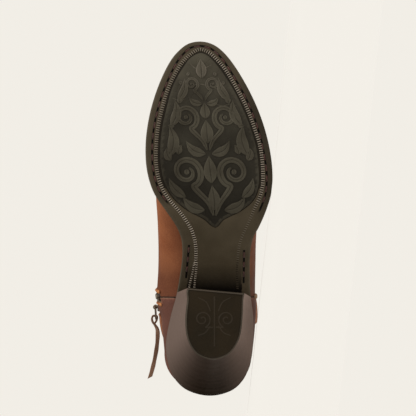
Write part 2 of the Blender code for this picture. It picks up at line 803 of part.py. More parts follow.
def make_slider(parent, frame):
    """A plate on the chain, with a bar held along the zip between two posts."""
    half_u, half_w = SLIDER_SIZE[0] / 2, SLIDER_SIZE[1] / 2
    plate = box_mesh("zip_slider", (-half_u, -half_w, SLIDER_FOOT), (half_u, half_w, PLATE_TOP))
    slider = placed(add_object("zip_slider", plate, "aged_metal", parent), frame)
    bevelled(slider, SLIDER_BEVEL, 2)
    half_bar = BRIDGE_BAR / 2
    reach = BRIDGE_SPAN / 2 + BRIDGE_POST
    arch_low = (-half_bar, -reach, PLATE_TOP - BRIDGE_ROOT)
    arch_high = (half_bar, reach, HINGE_HEIGHT + half_bar)
    arch = placed(hidden(box_mesh("bridge_form", arch_low, arch_high), parent), frame)
    gap_low = (-BRIDGE_BAR, -BRIDGE_SPAN / 2, PLATE_TOP - 2 * BRIDGE_ROOT)
    gap_high = (BRIDGE_BAR, BRIDGE_SPAN / 2, HINGE_HEIGHT - half_bar)
    gap = placed(hidden(box_mesh("bridge_gap", gap_low, gap_high), parent), frame)
    boolean(arch, gap, "DIFFERENCE")
    boolean(slider, arch, "UNION")


def eye_mesh(name, sides=20):
    """A flat ring round the bridge bar, its axis along the zip."""
    half = PULL_WIDTH / 2 - EYE_NARROWER
    loops = []
    for radius, y in ((EYE_HOLE, -half), (EYE_OUTER, -half), (EYE_OUTER, half), (EYE_HOLE, half)):
        turns = [2 * math.pi * i / sides for i in range(sides)]
        loops.append([(radius * math.cos(t), y, radius * math.sin(t)) for t in turns])
    return loft(name, loops, ring=True)


def make_pull(pivot):
    """A flat tab that leaves the eye towards the heel, with a slot near its end."""
    half = PULL_WIDTH / 2
    tab_start = EYE_HOLE + EYE_WIRE / 2
    tab = box_mesh("zip_pull", (tab_start, -half, -PULL_THICK / 2), (PULL_LENGTH, half, PULL_THICK / 2))
    pull = add_object("zip_pull", tab, "aged_metal", pivot)
    eye = hidden(eye_mesh("eye_form"), pivot)
    boolean(pull, eye, "UNION")
    slot_end = PULL_LENGTH - PULL_END
    slot_half = PULL_HOLE[1] / 2
    low = (slot_end - PULL_HOLE[0], -slot_half, -PULL_THICK)
    high = (slot_end, slot_half, PULL_THICK)
    slot = hidden(box_mesh("slot_form", low, high), pivot)
    boolean(pull, slot, "DIFFERENCE")


def make_thong(pivot, to_pivot, pivot_w):
    """A bow through the slot of the tab, carried on as one flat strip."""
    slot_x = PULL_LENGTH - PULL_END - PULL_HOLE[0] / 2
    reach = PULL_THICK / 2 + GAP + THONG_THICK / 2
    end_x = PULL_LENGTH + GAP + THONG_THICK / 2
    knot = (end_x + KNOT_BEYOND, 0.2 * reach)
    lean = 0.3
    near_end = end_x - 2 * lean
    bow = [(slot_x, 0.0), (slot_x + lean, reach), (near_end, reach + 2 * lean), knot]
    bow += [(near_end, -reach), (slot_x + lean, -reach)]
    route = [to_pivot @ Vector((u, v, pivot_w)) for u, v in THONG_ROUTE]
    path = rounded([knot] + [(p.x, p.z) for p in route], 4, closed=False)
    thong = add_object("zip_tassel", ribbon("zip_tassel", path), "dark_leather", pivot)
    boolean(thong, hidden(ring_ribbon("thong_bow", bow), pivot), "UNION")


def ribbon(name, path):
    """A flat strip along a path in the plane across the zip."""
    ahead = np.gradient(path, axis=0)
    ahead /= np.linalg.norm(ahead, axis=1)[:, None]
    across = np.column_stack([-ahead[:, 1], ahead[:, 0]]) * THONG_THICK / 2
    half = THONG_WIDTH / 2
    loops = []
    for place, side in zip(path, across):
        left, right = place + side, place - side
        over = [(left[0], -half, left[1]), (left[0], half, left[1])]
        under = [(right[0], half, right[1]), (right[0], -half, right[1])]
        loops.append(over + under)
    return loft(name, loops)


def ring_ribbon(name, points):
    """A closed bow of the same leather through the slot."""
    path = rounded(points, 4, closed=True)
    ahead = np.roll(path, -1, axis=0) - np.roll(path, 1, axis=0)
    ahead /= np.linalg.norm(ahead, axis=1)[:, None]
    across = np.column_stack([-ahead[:, 1], ahead[:, 0]]) * THONG_THICK / 2
    half = PULL_HOLE[1] / 2 - GAP
    loops = []
    for sign, y in ((1, -half), (1, half), (-1, half), (-1, -half)):
        edge = path + across * sign
        loops.append([(x, y, z) for x, z in edge])
    return loft(name, loops, ring=True)


def make_zip_pull(parent, frame):
    """The tab and its thong turn together about the bridge bar."""
    pivot = bpy.data.objects.new("pull_pivot", None)
    bpy.context.scene.collection.objects.link(pivot)
    pivot.parent = parent
    dip = Matrix.Rotation(math.radians(PULL_REST_DIP), 4, "Y")
    hinge = frame @ Matrix.Translation((0, 0, HINGE_HEIGHT)) @ dip
    placed(pivot, hinge)
    make_pull(pivot)
    make_thong(pivot, hinge.inverted(), hinge.translation.z)


def world_points(objects):
    graph = bpy.context.evaluated_depsgraph_get()
    points = []
    for piece in objects:
        shown = piece.evaluated_get(graph)
        mesh = shown.to_mesh()
        points += [shown.matrix_world @ v.co for v in mesh.vertices]
        shown.to_mesh_clear()
    return points


def centre_of(objects):
    """The middle of the pieces' weight."""
    graph = bpy.context.evaluated_depsgraph_get()
    total, moment = 0.0, Vector()
    for piece in objects:
        density = FINISHES[piece.data.materials[0].name].density
        shown = piece.evaluated_get(graph)
        mesh = shown.to_mesh()
        mesh.calc_loop_triangles()
        for triangle in mesh.loop_triangles:
            a, b, c = (shown.matrix_world @ mesh.vertices[i].co for i in triangle.vertices)
            weight = density * a.dot(b.cross(c)) / 6
            total += weight
            moment += weight * (a + b + c) / 4
        shown.to_mesh_clear()
    return moment / total


def resting_face(points, centre, towards):
    """The outward normal of the hull face that the body comes to rest on."""
    bm = bmesh.new()
    for point in points:
        bm.verts.new(point)
    bmesh.ops.convex_hull(bm, input=bm.verts)
    bmesh.ops.triangulate(bm, faces=bm.faces)
    best = None
    for face in bm.faces:
        normal = face.normal.copy()
        corners = [v.co.copy() for v in face.verts]
        if normal.dot(corners[0] - centre) < 0:
            normal = -normal
        foot = centre + normal * normal.dot(corners[0] - centre)
        if normal.dot(towards) > MOSTLY and intersect_point_tri(foot, *corners):
            best = normal
    bm.free()
    return best


def lay_on_side(root, pieces):
    """Turn the boot so that the face it rests on is the floor, toe along +X, and centre it."""
    bpy.context.view_layer.update()
    up = -resting_face(world_points(pieces), centre_of(pieces), Vector((0, 1, 0)))
    toe = (Vector((1, 0, 0)) - up * up.x).normalized()
    root.matrix_world = Matrix((toe, up.cross(toe), up)).to_4x4()
    bpy.context.view_layer.update()
    points = np.array(world_points(pieces))
    low, high = points.min(axis=0), points.max(axis=0)
    root.location = -Vector(((low[0] + high[0]) / 2, (low[1] + high[1]) / 2, low[2]))
    bpy.context.view_layer.update()


def main():
    clear_scene()
    root = bpy.data.objects.new("boot", None)
    bpy.context.scene.collection.objects.link(root)
    sheet = last_sheet()
    tree = BVHTree.FromBMesh(sheet)
    make_outsole(root)
    make_welt(root)
    make_insole(root)
    make_heel(root)
    make_top_lift(root)
    make_upper(root, sheet)
    make_zip(root, sheet)
    make_piping(root, sheet)
    make_pull_strap(root, tree)
    frame = zip_frame(tree)
    make_slider(root, frame)
    make_zip_pull(root, frame)
    sheet.free()
    pieces = [o for o in bpy.data.objects if o.type == "MESH" and not o.hide_render]
    lay_on_side(root, pieces)


main()
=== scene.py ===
"""A western ankle boot for the left foot, lying on its outer side and seen straight onto its sole.

Shapes are drawn in the boot's own frame, in millimetres: u runs from heel to toe, v from the inner
to the outer side and w from the tread up to the collar. One matrix then sets them on the model.
"""

import json
import math
from collections import namedtuple

import bmesh
import bpy
import numpy as np
from mathutils import Matrix, Vector
from mathutils.bvhtree import BVHTree


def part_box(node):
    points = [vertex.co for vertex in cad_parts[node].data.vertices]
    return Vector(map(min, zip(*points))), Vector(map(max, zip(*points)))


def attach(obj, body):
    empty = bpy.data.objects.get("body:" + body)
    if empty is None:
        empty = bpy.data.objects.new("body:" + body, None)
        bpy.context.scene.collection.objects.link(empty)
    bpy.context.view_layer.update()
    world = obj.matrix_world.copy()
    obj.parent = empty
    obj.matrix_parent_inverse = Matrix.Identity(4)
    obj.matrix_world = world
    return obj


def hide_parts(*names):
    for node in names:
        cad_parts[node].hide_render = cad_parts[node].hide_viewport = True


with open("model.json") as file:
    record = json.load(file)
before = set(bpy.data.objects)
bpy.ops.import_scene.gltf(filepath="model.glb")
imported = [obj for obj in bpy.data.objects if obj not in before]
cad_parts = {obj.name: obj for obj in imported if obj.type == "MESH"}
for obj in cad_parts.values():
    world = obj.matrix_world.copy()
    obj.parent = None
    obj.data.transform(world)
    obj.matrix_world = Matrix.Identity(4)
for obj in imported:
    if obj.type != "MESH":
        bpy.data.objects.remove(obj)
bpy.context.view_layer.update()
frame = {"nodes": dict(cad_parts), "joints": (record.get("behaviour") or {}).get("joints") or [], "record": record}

MM = 0.001
GAP = 0.3
HEEL_MOUNT_U = 58.0
BOTH_HANDS = (-1.0, 1.0)


def table(columns, *rows):
    """Rows of numbers whose columns have names."""
    kind = namedtuple("Row", columns)
    return [kind(*row) for row in rows]


# Sole: the v of its inner and outer edge along the length, and the same for the top lift on the floor
OUTLINE_STEPS = 24
LENGTH_STEPS = 240
SOLE_OUTLINE = table(
    "u medial lateral",
    (269.5, -5.5, -5.5), (268.0, -13.6, 2.4), (264.0, -19.6, 9.0), (256.0, -26.6, 16.4),
    (243.0, -33.5, 24.8), (226.0, -39.9, 33.6), (208.0, -44.3, 40.7), (190.0, -46.2, 45.5),
    (172.0, -45.1, 47.9), (156.0, -40.2, 47.3), (143.0, -31.5, 43.8), (131.0, -23.3, 39.0),
    (121.0, -19.3, 34.2), (108.0, -18.5, 32.7), (92.0, -20.4, 33.2), (78.0, -22.8, 34.1),
    (62.0, -27.0, 36.3), (42.0, -30.6, 36.6), (27.0, -29.4, 34.9), (13.0, -23.7, 29.5),
    (4.0, -13.5, 20.0), (0.0, 3.5, 3.5),
)
LIFT_OUTLINE = table(
    "u medial lateral",
    (85.0, -14.4, 26.2), (76.0, -15.4, 26.2), (62.0, -16.7, 25.6), (50.0, -15.8, 24.0),
    (41.5, -12.6, 20.2), (35.3, -7.0, 14.3), (32.0, 3.7, 3.7),
)

# Height of the outsole's underside: seat, arch, flat tread and toe spring
UNDERSIDE = table(
    "u value",
    (0.0, 57.0), (20.0, 55.3), (45.0, 51.4), (65.0, 46.6), (80.0, 41.0), (95.0, 33.6), (110.0, 24.8),
    (125.0, 15.8), (140.0, 8.2), (155.0, 3.2), (168.0, 0.8), (180.0, 0.0), (202.0, 0.0), (217.0, 0.9),
    (234.0, 3.4), (252.0, 7.8), (269.5, 13.5),
)

# How far the upper's bottom edge and the stitch channel lie inside the edge of the sole
MARGIN = table(
    "u value",
    (0.0, 2.2), (40.0, 2.0), (80.0, 1.5), (112.0, 1.5), (136.0, 3.6), (160.0, 6.4), (200.0, 7.0),
    (269.5, 6.3),
)
CHANNEL = table(
    "u value",
    (0.0, 6.0), (130.0, 5.2), (150.0, 4.3), (166.0, 4.4), (185.0, 4.9), (245.0, 5.0), (260.0, 4.4),
    (269.5, 3.7),
)
CHANNEL_DEPTH = 0.9
CHANNEL_ENDS = (147.0, 141.0)
CHANNEL_STITCH_ENDS = (148.5, 142.0)
CHANNEL_EASE = 2.0
STITCH_DEPTH = 0.62

# The outsole's wall and lower edge, and the panel's edge: distance in, height above the underside, tone
OUTSOLE_THICK = 4.5
SOLE_BED = 0.55
# The lower edge's slightly paler tones are a painted highlight, partly wear
EDGE_RINGS = (
    (0.0, OUTSOLE_THICK, 0.0), (0.0, OUTSOLE_THICK - 0.1, 0.0), (-0.05, 2.6, 0.0), (0.0, 1.1, 0.0),
    (0.12, 0.55, -0.05), (0.42, 0.16, -0.08), (0.9, 0.0, -0.03), (2.2, 0.0, 0.0),
)
# The panel's edge is toned dark, painted shade in the groove round it
PANEL_RINGS = (
    (0.3, SOLE_BED, 1.0), (0.3, 0.25, 1.0), (0.4, 0.10, 0.5), (0.7, 0.02, 0.1), (2.2, -0.04, 0.1),
)

# The stitch channel: distance from its middle, share of its depth, tone; the dark tone down in it is painted shade
CHANNEL_RINGS = (
    (-0.80, 0.0, 0.1), (-0.62, 0.35, 0.9), (-0.45, 1.0, 1.0), (0.45, 1.0, 1.0), (0.62, 0.5, 0.9),
    (0.80, 0.0, 0.1),
)

# Painted shade on the panel's sunk ground along its length, darker towards the waist, and the shares of it that
# border and raised work take; raised work is also made paler by RAISED_PALE, a painted highlight
GROUND_TONE = table(
    "u value", (129.0, 0.84), (160.0, 0.74), (195.0, 0.60), (225.0, 0.42), (242.0, 0.12), (261.0, 0.05)
)
BORDER_SHARE = 0.6
RAISED_SHARE = 0.42
RAISED_PALE = 0.10
BED_START = 126.0
BED_EASE = 2.5
# Tone of the painted shade in the sunk bed round the panel
BED_DARK = 0.75
BED_MARGIN = 0.2
# Painted shade on the outer edge of the forefoot: tone, where it begins along and across, and how soon it is full
EDGE_SHADE = table("tone u along v across", (0.5, 135.0, 20.0, 20.0, 12.0))[0]
# Painted shade in the corner in front of the heel breast: full behind the first u, gone at the second
BREAST_SHADE = (83.0, 102.0)

# The waist's plates beside the panel: where they end, their samples, lip and least width
WAIST_PLATE_END = 159.0
WAIST_PLATE_STEPS = 70
LIP_REACH = 1.5
LIP_WIDTH = 0.4
LIP_DROP = 0.13
WAIST_RISE = -0.01
WAIST_LEAST = 0.6

# Short stitched slots at the sides of the waist, from front to rear (u, v), and half of their section:
# distance from the middle, height and tone; the slot's floor is toned dark, painted shade
WAIST_SLOTS = (((116.8, -13.6), (91.6, -15.5)), ((113.0, 28.0), (87.7, 28.4)))
SLOT_HALF = ((0.72, 0.03, 1.0), (0.85, 0.18, 0.1), (1.15, 0.16, -0.04), (1.3, -0.1, 0.2))

# Fine groove round the forefoot panel, from the toe down the inner side to the tip and back (u, v)
PANEL_GROOVE = (
    (260.8, -5.6), (257.2, -12.8), (251.4, -17.4), (243.3, -22.3), (234.5, -26.6), (224.4, -29.6),
    (202.0, -34.6), (179.8, -35.8), (165.1, -33.3), (157.7, -30.0), (150.3, -24.4), (142.9, -15.4),
    (136.0, -2.5), (129.9, 5.9), (135.5, 11.6), (141.5, 23.4), (147.4, 31.4), (154.0, 36.0),
    (165.1, 38.2), (187.2, 36.5), (202.0, 32.6), (216.9, 26.9), (231.9, 19.8), (247.2, 10.4),
    (254.6, 4.6), (258.7, 0.4),
)

# Middle of the ribbed band: up the inner side of the waist, round the forefoot and down again (u, v)
RIB_PATH = (
    (102.0, -8.7), (105.4, -8.4), (113.0, -8.4), (120.6, -9.4), (128.1, -11.9), (135.5, -16.4),
    (142.5, -21.6), (150.3, -28.4), (158.0, -33.4), (166.5, -36.6), (179.8, -38.5), (202.0, -37.3),
    (224.9, -32.2), (235.0, -28.7), (244.4, -24.3), (252.6, -19.3), (259.2, -13.0), (263.2, -5.6),
    (260.4, 1.6), (256.4, 6.0), (248.5, 12.7), (233.1, 21.7), (217.8, 29.3), (202.7, 34.8),
    (187.6, 39.2), (165.1, 40.9), (153.0, 38.8), (143.5, 34.6), (135.5, 31.4), (128.1, 28.2),
    (120.6, 25.2), (113.0, 23.8), (105.4, 23.4), (97.8, 23.0), (90.0, 23.4), (83.0, 24.0),
)
RIB_STRANDS = (
    ((83.0, -13.4), (90.0, -11.9), (97.8, -10.2), (104.0, -9.4)),
    ((83.0, -9.2), (90.0, -8.7), (97.8, -7.9), (104.0, -7.5)),
)
RIB_HALF_WIDTH = 1.5
STRAND_HALF_WIDTH = 0.95
RIB_SAMPLES = 6
RIB_PITCH = 1.72
RIB_BASE = 0.04
RIB_RISE = 0.42
# The band's feet are toned dark, painted shade
RIB_FOOT_TONE = 0.65
# The band's cross-section (shares of half width and height), and how bold the ribs are along the sole
# on its inner and outer side (places and strengths); the strengths also set the painted shade in the troughs and
# the painted highlight on the crests
RIB_PROFILE = (
    (-1.0, 0.0), (-0.82, 0.62), (-0.45, 0.92), (0.0, 1.0), (0.45, 0.92), (0.82, 0.62), (1.0, 0.0),
)
INNER_RIBS = ((150.0, 178.0), (1.5, 0.75))
OUTER_RIBS = ((138.0, 156.0), (0.3, 1.15))
# Shade of the band near the heel on the outer side: tone, where it begins and its reach
RIB_CORNER = (0.6, 108.0, 18.0)

# Tooling in low relief on the forefoot, mirrored about its middle line: u of the stem's root, then u,
# distance from the middle, size and turns of the coil
SCROLLS = table(
    "root u side size turns",
    (139.0, 171.0, 17.5, 11.5, 1.35), (187.0, 211.5, 14.5, 9.0, 1.35), (224.0, 236.5, 8.0, 5.2, 1.25),
)
COIL_START = 200.0
COIL_EYE = 0.30
RIBBON_WIDTH = 0.44
RELIEF = 0.85
LEAF_MARGIN = 3.0
LEAF_BEND = 0.12
TOOLING_SINK = -0.02

# Leaves round each coil: bearing of the root, bearing of the tip, length and width in coil sizes
COIL_LEAVES = table(
    "root tip length width",
    (20.0, 338.0, 0.66, 0.46), (52.0, 14.0, 0.84, 0.54), (88.0, 56.0, 0.66, 0.50),
    (122.0, 92.0, 0.50, 0.42),
)

# Larger leaves beside the scrolls: u and distance from the middle of root and tip, width and bend
SIDE_LEAVES = table(
    "root tip width bend",
    ((143.0, 7.5), (152.5, 23.0), 8.4, 0.16), ((152.5, 21.0), (166.5, 31.2), 7.0, 0.12),
    ((183.0, 29.2), (205.5, 27.6), 9.0, -0.14), ((205.0, 26.4), (224.5, 21.4), 7.6, -0.14),
    ((224.0, 19.4), (241.0, 12.6), 6.4, -0.12), ((184.5, 2.4), (194.0, 16.0), 7.4, 0.18),
    ((221.5, 1.8), (226.5, 10.8), 5.0, 0.18),
)

# Upright leaves on the middle line: u of root and tip, width
MIDDLE_LEAVES = (
    (143.0, 161.0, 9.4), (163.0, 183.0, 10.4), (192.5, 209.5, 10.0), (210.5, 222.5, 7.6),
    (241.0, 255.5, 8.4),
)

# Half a cross-section of a tooled ribbon from its sunk middle to its foot: shares of width and height,
# and the tone, which is paler on the shoulders, a painted highlight, and darker in the cuts, painted shade
RIBBON_MIDDLE = (0.0, 0.55, 0.30)
RIBBON_HALF = (
    (0.14, 0.90, -0.08), (0.32, 1.0, -0.03), (0.72, 1.0, -0.04), (0.90, 0.84, -0.24), (0.97, 0.20, 0.25),
    (1.06, -0.20, 0.85),
)

# Fine creases across the forefoot (u, v), and the width, height, foot and tones of their ridges; the tones give
# darker feet, painted shade, and paler tops, painted highlight
CREASES = (
    ((236.0, -20.5), (234.5, -14.0), (236.5, -7.0), (235.0, 0.0), (232.5, 8.0), (231.0, 15.5)),
    ((252.0, -13.0), (248.5, -9.0), (249.0, -2.0), (251.0, 3.0)),
    ((226.0, -26.5), (224.0, -21.0), (225.5, -16.5)),
    ((222.0, 4.0), (220.0, 11.0), (221.5, 17.0), (219.5, 22.5)),
)
CREASE_WIDTH = 0.8
CREASE_HEIGHT = 0.30
CREASE_FOOT = -0.15
CREASE_TONES = (0.6, -0.05, -0.2, -0.05, 0.6)

# Heel: where the breast crosses the inner and outer side, and its layers
LIFT_BREAST = (85.0, 81.2)
SEAT_BREAST = (80.5, 76.9)
TOP_LIFT_THICK = 6.0
HEEL_HOLLOW = 0.05
HEEL_STEPS = 64
HEEL_LAYERS = 22
LAYER_GROOVE = 0.02
LAYER_TONE = 0.015
LAYER_SHAPE = ((0.02, 1.0), (0.12, 0.15), (0.5, 0.0), (0.88, 0.15), (0.98, 1.0))
# Painted light on the heel's dressing: bearings from the rear at which the painted highlight of its sides starts
# and
# is full, and its tones: the highlight's strength inside and outside, painted shade at the rear and on the breast
REAR_DARK = 8.0
SIDE_PALE = 86.0
INNER_PALE = 0.59
OUTER_PALE = 1.0
REAR_TONES = (0.02, 0.16)
BREAST_TONE = 0.4

# The top lift: distance in, height and tone of its rings, and the scroll and leaves on its field; the rim's pale
# tone is a painted highlight and the dark ring inside it painted shade
LIFT_RINGS = (
    (0.0, TOP_LIFT_THICK, 0.0), (0.0, 1.3, 0.0), (0.1, 0.7, -0.08), (0.4, 0.2, -0.14), (0.8, 0.0, -0.14),
    (1.1, 0.05, -0.05), (1.6, 0.35, 0.5), (2.0, 0.40, 0.1),
)
LIFT_FIELD = 0.42
LIFT_MIDDLE = 4.8
LIFT_FOOT = -0.1
# The ridges' feet are toned darker, painted shade, and their tops paler, painted highlight
LIFT_TONES = (0.3, -0.02, -0.05, -0.02, 0.3)
LIFT_COIL = table("root u side size turns eye", ((56.0, 1.0), 62.0, 9.0, 6.4, 1.6, 0.16))[0]
LIFT_LEAVES = (((57.0, 3.0), (52.0, 7.0), (50.0, 12.0)), ((68.0, 3.0), (74.5, 6.0), (78.0, 12.0)))
LIFT_STEM = ((42.0, 0.0), (60.0, 0.0), (79.0, 0.0))
# Width and height of the lift's stems and of its leaves
LIFT_STEM_SIZE = (1.5, 0.22)
LIFT_LEAF_SIZE = (1.3, 0.2)

# Welt and insole: distance in from the sole or the wall, and height
WELT_THICK = 2.8
WELT_RINGS = (
    (GAP, 0.0), (GAP - 0.1, 0.5), (GAP - 0.12, 1.4), (GAP, 2.3), (GAP + 0.45, 2.72),
    (GAP + 1.0, WELT_THICK),
)
WELT_STITCH_SHARE = 0.42
WELT_STITCH_ENDS = (128.0, 128.0)
INSOLE_RINGS = ((0.7, 0.0), (0.7, 2.6), (1.0, 3.15), (1.6, 3.4))

# Threads: distance from stitch to stitch, length and radius; and one along its length: share of the
# way, share of its radius and lift in radii
CHANNEL_STITCH = (8.0, 5.2, 0.62)
SLOT_STITCH = (8.6, 5.4, 0.6)
WELT_STITCH = (4.2, 3.2, 0.5)
COUNTER_STITCH = (2.6, 1.9, 0.30)
ZIP_STITCH = (3.0, 2.2, 0.45)
TACK_STITCH = (2.8, 2.7, 0.5)
STRAP_STITCH = (2.8, 2.0, 0.36)
THREAD_SIDES = 6
STITCH_SHAPE = np.array(
    (
        (0.0, 0.40, -0.7), (0.12, 0.85, 0.1), (0.35, 1.0, 0.45),
        (0.65, 1.0, 0.45), (0.88, 0.85, 0.1), (1.0, 0.40, -0.7),
    )
)

# Sections of the last. Each is a plane across the boot, from its low or rear point (back) to its
# high or front point (top). A back_w of None rests on the sole. Medial and lateral are half widths
# from the middle, 0 where the sole's edge alone sets them; widest is the share of the way up at
# which the section is widest; crown above 1 draws its upper half in to a ridge.
SECTIONS = table(
    "back_u back_w top_u top_w middle medial lateral widest crown",
    (263.2, None, 263.2, None, -5.5, 0.0, 0.0, 0.22, 0.90),
    (262.0, None, 262.0, 26.0, -5.5, 0.0, 0.0, 0.22, 0.90),
    (258.5, None, 258.5, 31.5, -5.4, 0.0, 0.0, 0.22, 0.90),
    (251.0, None, 251.0, 37.0, -5.2, 0.0, 0.0, 0.22, 0.90),
    (239.0, None, 239.5, 41.8, -4.6, 0.0, 0.0, 0.22, 0.92),
    (221.0, None, 222.5, 46.8, -3.4, 0.0, 0.0, 0.22, 0.96),
    (199.0, None, 202.0, 53.6, -1.6, 0.0, 0.0, 0.24, 1.00),
    (176.0, None, 182.0, 61.6, 0.2, 40.4, 41.5, 0.26, 1.05),
    (152.0, None, 164.5, 70.6, 1.6, 39.8, 39.5, 0.32, 1.10),
    (128.0, None, 148.5, 80.8, 2.7, 39.4, 37.6, 0.40, 1.12),
    (104.0, None, 134.5, 92.6, 3.3, 39.2, 37.0, 0.42, 1.10),
    (80.0, None, 123.5, 105.2, 3.6, 39.0, 37.0, 0.40, 1.06),
    (54.0, None, 115.5, 118.0, 3.6, 38.2, 37.0, 0.36, 1.02),
    (27.0, None, 110.0, 129.6, 3.5, 36.6, 35.6, 0.28, 1.00),
    (9.0, None, 107.0, 138.6, 3.5, 35.4, 34.2, 0.25, 1.00),
    (2.2, None, 105.5, 146.0, 3.5, 34.8, 33.6, 0.25, 1.00),
    (0.8, 82.0, 104.5, 153.5, 3.6, 34.2, 33.2, 0.28, 1.00),
    (3.2, 104.0, 104.2, 161.5, 3.8, 34.2, 33.6, 0.36, 1.00),
    (7.0, 128.0, 104.8, 169.5, 4.2, 35.6, 35.4, 0.45, 1.00),
    (8.2, 152.0, 106.2, 177.5, 4.6, 38.0, 37.8, 0.49, 0.98),
    (6.5, 180.0, 108.5, 186.0, 5.0, 40.4, 40.4, 0.50, 0.96),
)
COLLAR = SECTIONS[-1]
COLLAR_RISE = 8.0
COLLAR_RISE_DEPTH = 45.0
SIDE_STEPS = 56
SECTION_STEPS = 9
EASE_ROUNDS = 40
EASE_ROWS = 8
LASTING_BULGE = 1.2
BULGE_BLEND = 3.0
WALL = 2.2
LEATHER = 1.3
LINING_GAP = 0.02
BINDING_SIZE = (1.35, 1.0)
LEG_MIDDLE = (55.0, 5.0)
BEYOND_SIDE = 120.0

# How far the inner side stands out beyond its sections in front of the zip
MEDIAL_FULLNESS = table(
    "u value",
    (0.0, 0.0), (58.0, 0.0), (68.0, 2.7), (77.0, 4.3), (86.0, 3.5), (97.0, 2.6), (118.0, 2.0), (147.0, 1.9),
    (165.0, 0.7), (182.0, 0.0),
)
FULLNESS_FOOT = 18.0
FULLNESS_LEVELS = (110.0, 180.0)
FULLNESS_AT_COLLAR = 0.35

# Soft creases of the upper in side view: places on the front ridge and down the side (u, w), depth and
# half width, and the share that the outer side takes
UPPER_CREASES = table(
    "ridge side depth half outer",
    ((124.0, 103.0), (97.0, 92.0), 0.9, 4.6, 0.8), ((115.5, 117.0), (92.0, 110.0), 0.7, 4.2, 1.1),
    ((110.0, 131.0), (95.0, 126.0), 0.45, 4.0, 0.6), ((180.0, 62.0), (170.0, 34.0), 0.55, 5.0, 1.0),
    ((166.0, 70.0), (154.0, 44.0), 0.5, 4.6, 0.7),
)

# Side view (u, w) of the counter: its front foot and its dipping top edge
COUNTER_FRONT_FOOT = 76.0
COUNTER_TOP_EDGE = ((75.0, 98.0), (64.0, 95.0), (46.0, 100.0), (28.0, 112.0), (12.0, 121.0), (-20.0, 124.0))
COUNTER_STEP = 1.0
COUNTER_THIN = 0.45
COUNTER_SKIVE = 5.0
COUNTER_BACK = -0.3
COUNTER_FOOT = 0.9
COUNTER_ROW = 2.0
COUNTER_RIM = 1.5
# Bearings round the leg between which the counter's top edge is trimmed
COUNTER_BEARINGS = (-68.0, -292.0)
# A dark strip on the upper along the counter's front and top edges, a painted shadow line: its width, its lowest
# point, and the foot, side, share of flat and top of its profile
SHADOW_LINE_WIDTH = 0.9
SHADOW_LINE_FOOT = 0.5
SHADOW_LINE_SHAPE = (-0.3, 0.2, 0.6, 0.32)
# Where the upper gets painted shade: towards the counter's front seam, in a line along the counter's edge and near
# the sole
SEAM_DARK = table("tone u along w across", (0.65, 118.0, 27.0, 130.0, 30.0))[0]
SEAM_LINE = 2.0
FOOT_DARK = 0.5
FOOT_DARK_REACH = 16.0
# Tones of the counter: its pale rim, a painted highlight, and its dark lower part, painted shade, with its
# distance and reach below the edge
RIM_TONE = 0.5
LOW_TONE = 0.5
LOW_DARK = (4.0, 26.0)

# The zip's middle in the side view (u, w): from the side seam up to the ankle, then straight to the collar
ZIP_ROUTE = ((75.2, 65.0), (76.5, 82.0), (77.0, 100.0), (73.25, 120.5), (69.5, 141.0), (62.0, 182.0))
ZIP_SLIT = 7.0
ZIP_OVERRUN = 6.0
ZIP_EDGE = 1.5
ZIP_EDGE_RISE = 0.9
ZIP_EDGE_PLAY = 0.1
ZIP_EDGE_SHAPE = (-0.36, 0.54, 0.7, 0.855)
TACK_ROWS = 4
TOOTH_PITCH = 2.1
TOOTH_START = 3.0
TOOTH_RISE = 0.7
TOOTH_FOOT = -0.75
TOOTH_SHOULDER = 0.15
# A tooth from the tape's edge to its head: distance from the middle, half width and height
TOOTH_PROFILE = (
    (2.1, 0.42, -0.2), (1.5, 0.50, 0.32), (0.6, 0.46, 0.45), (-0.15, 0.40, 0.40), (-0.55, 0.28, 0.15),
)
# The tape's back, its face beside the slit and the bead along its middle: distance across and out
TAPE_BACK = -2.0
TAPE_FACE = -0.95
TAPE_BEAD = ((0.4, -0.9), (0.0, -1.1), (-0.4, -0.9))
# The stop at the foot: distance below the first tooth, and how much longer and higher it is than a tooth
STOP_BELOW = 1.4
STOP_LONGER = 1.6
STOP_HIGHER = 1.2
# Length of zip in the side seam, below the zip that reaches the collar
SEAM_ZIP = TOOTH_START + 15 * TOOTH_PITCH

# Pull tab and thong; the thong's route beyond the tab is given as (u, v) at the height of the slider
PULL_LENGTH = 10.5
PULL_THICK = 1.2
PULL_SLOT_MIDDLE = 7.6
PULL_SLOT_WIDTH = 3.2
KNOT_BEYOND = 2.6
BOW_LEAN = 0.3
THONG_WIDTH = 3.4
THONG_THICK = 1.6
THONG_TURN_LENGTH = 12.0
THONG_SLANT = 1.6
# Shares of the flat in the widths of strip and bow, of the strip's waver and of its crown
THONG_FLAT = 0.86
BOW_FLAT = 0.8
THONG_WAVER = 0.06
THONG_CROWN = 1.05
THONG_ROUTE = ((44.5, -37.6), (38.0, -37.4), (30.0, -38.2), (20.0, -40.0), (11.0, -42.2), (3.0, -44.6))

# Pull strap: its middle along the boot, width, thickness, feet on the outside and inside, and loop
STRAP_AT = 62.0
STRAP_WIDTH = 25.0
STRAP_THICK = 3.0
STRAP_FOOT = 148.0
STRAP_INSIDE_FOOT = 160.0
STRAP_LOOP_RISE = 4.0
STRAP_GAP = 0.5
STRAP_EDGE_DROP = 1.0
STRAP_ROUNDING = (0.35, 0.85)
STITCH_ROOM = 0.6

# The piping on the outer side in the side view (u, w), from the side seam up; its upper part's start
PIPING_ROUTE = ((76.2, 64.0), (76.4, 88.0), (76.5, 112.0), (74.75, 129.0), (73.0, 146.0))
SEAM_PIPING_TOP = 112.0
PIPING_LIFT = 0.95
PIPING_TURN = 7.0
# Half width and half height of a strand, and how far its twist carries it across and out
STRAND_SIZE = (0.95, 0.75)
STRAND_SWING = (0.95, 0.28)

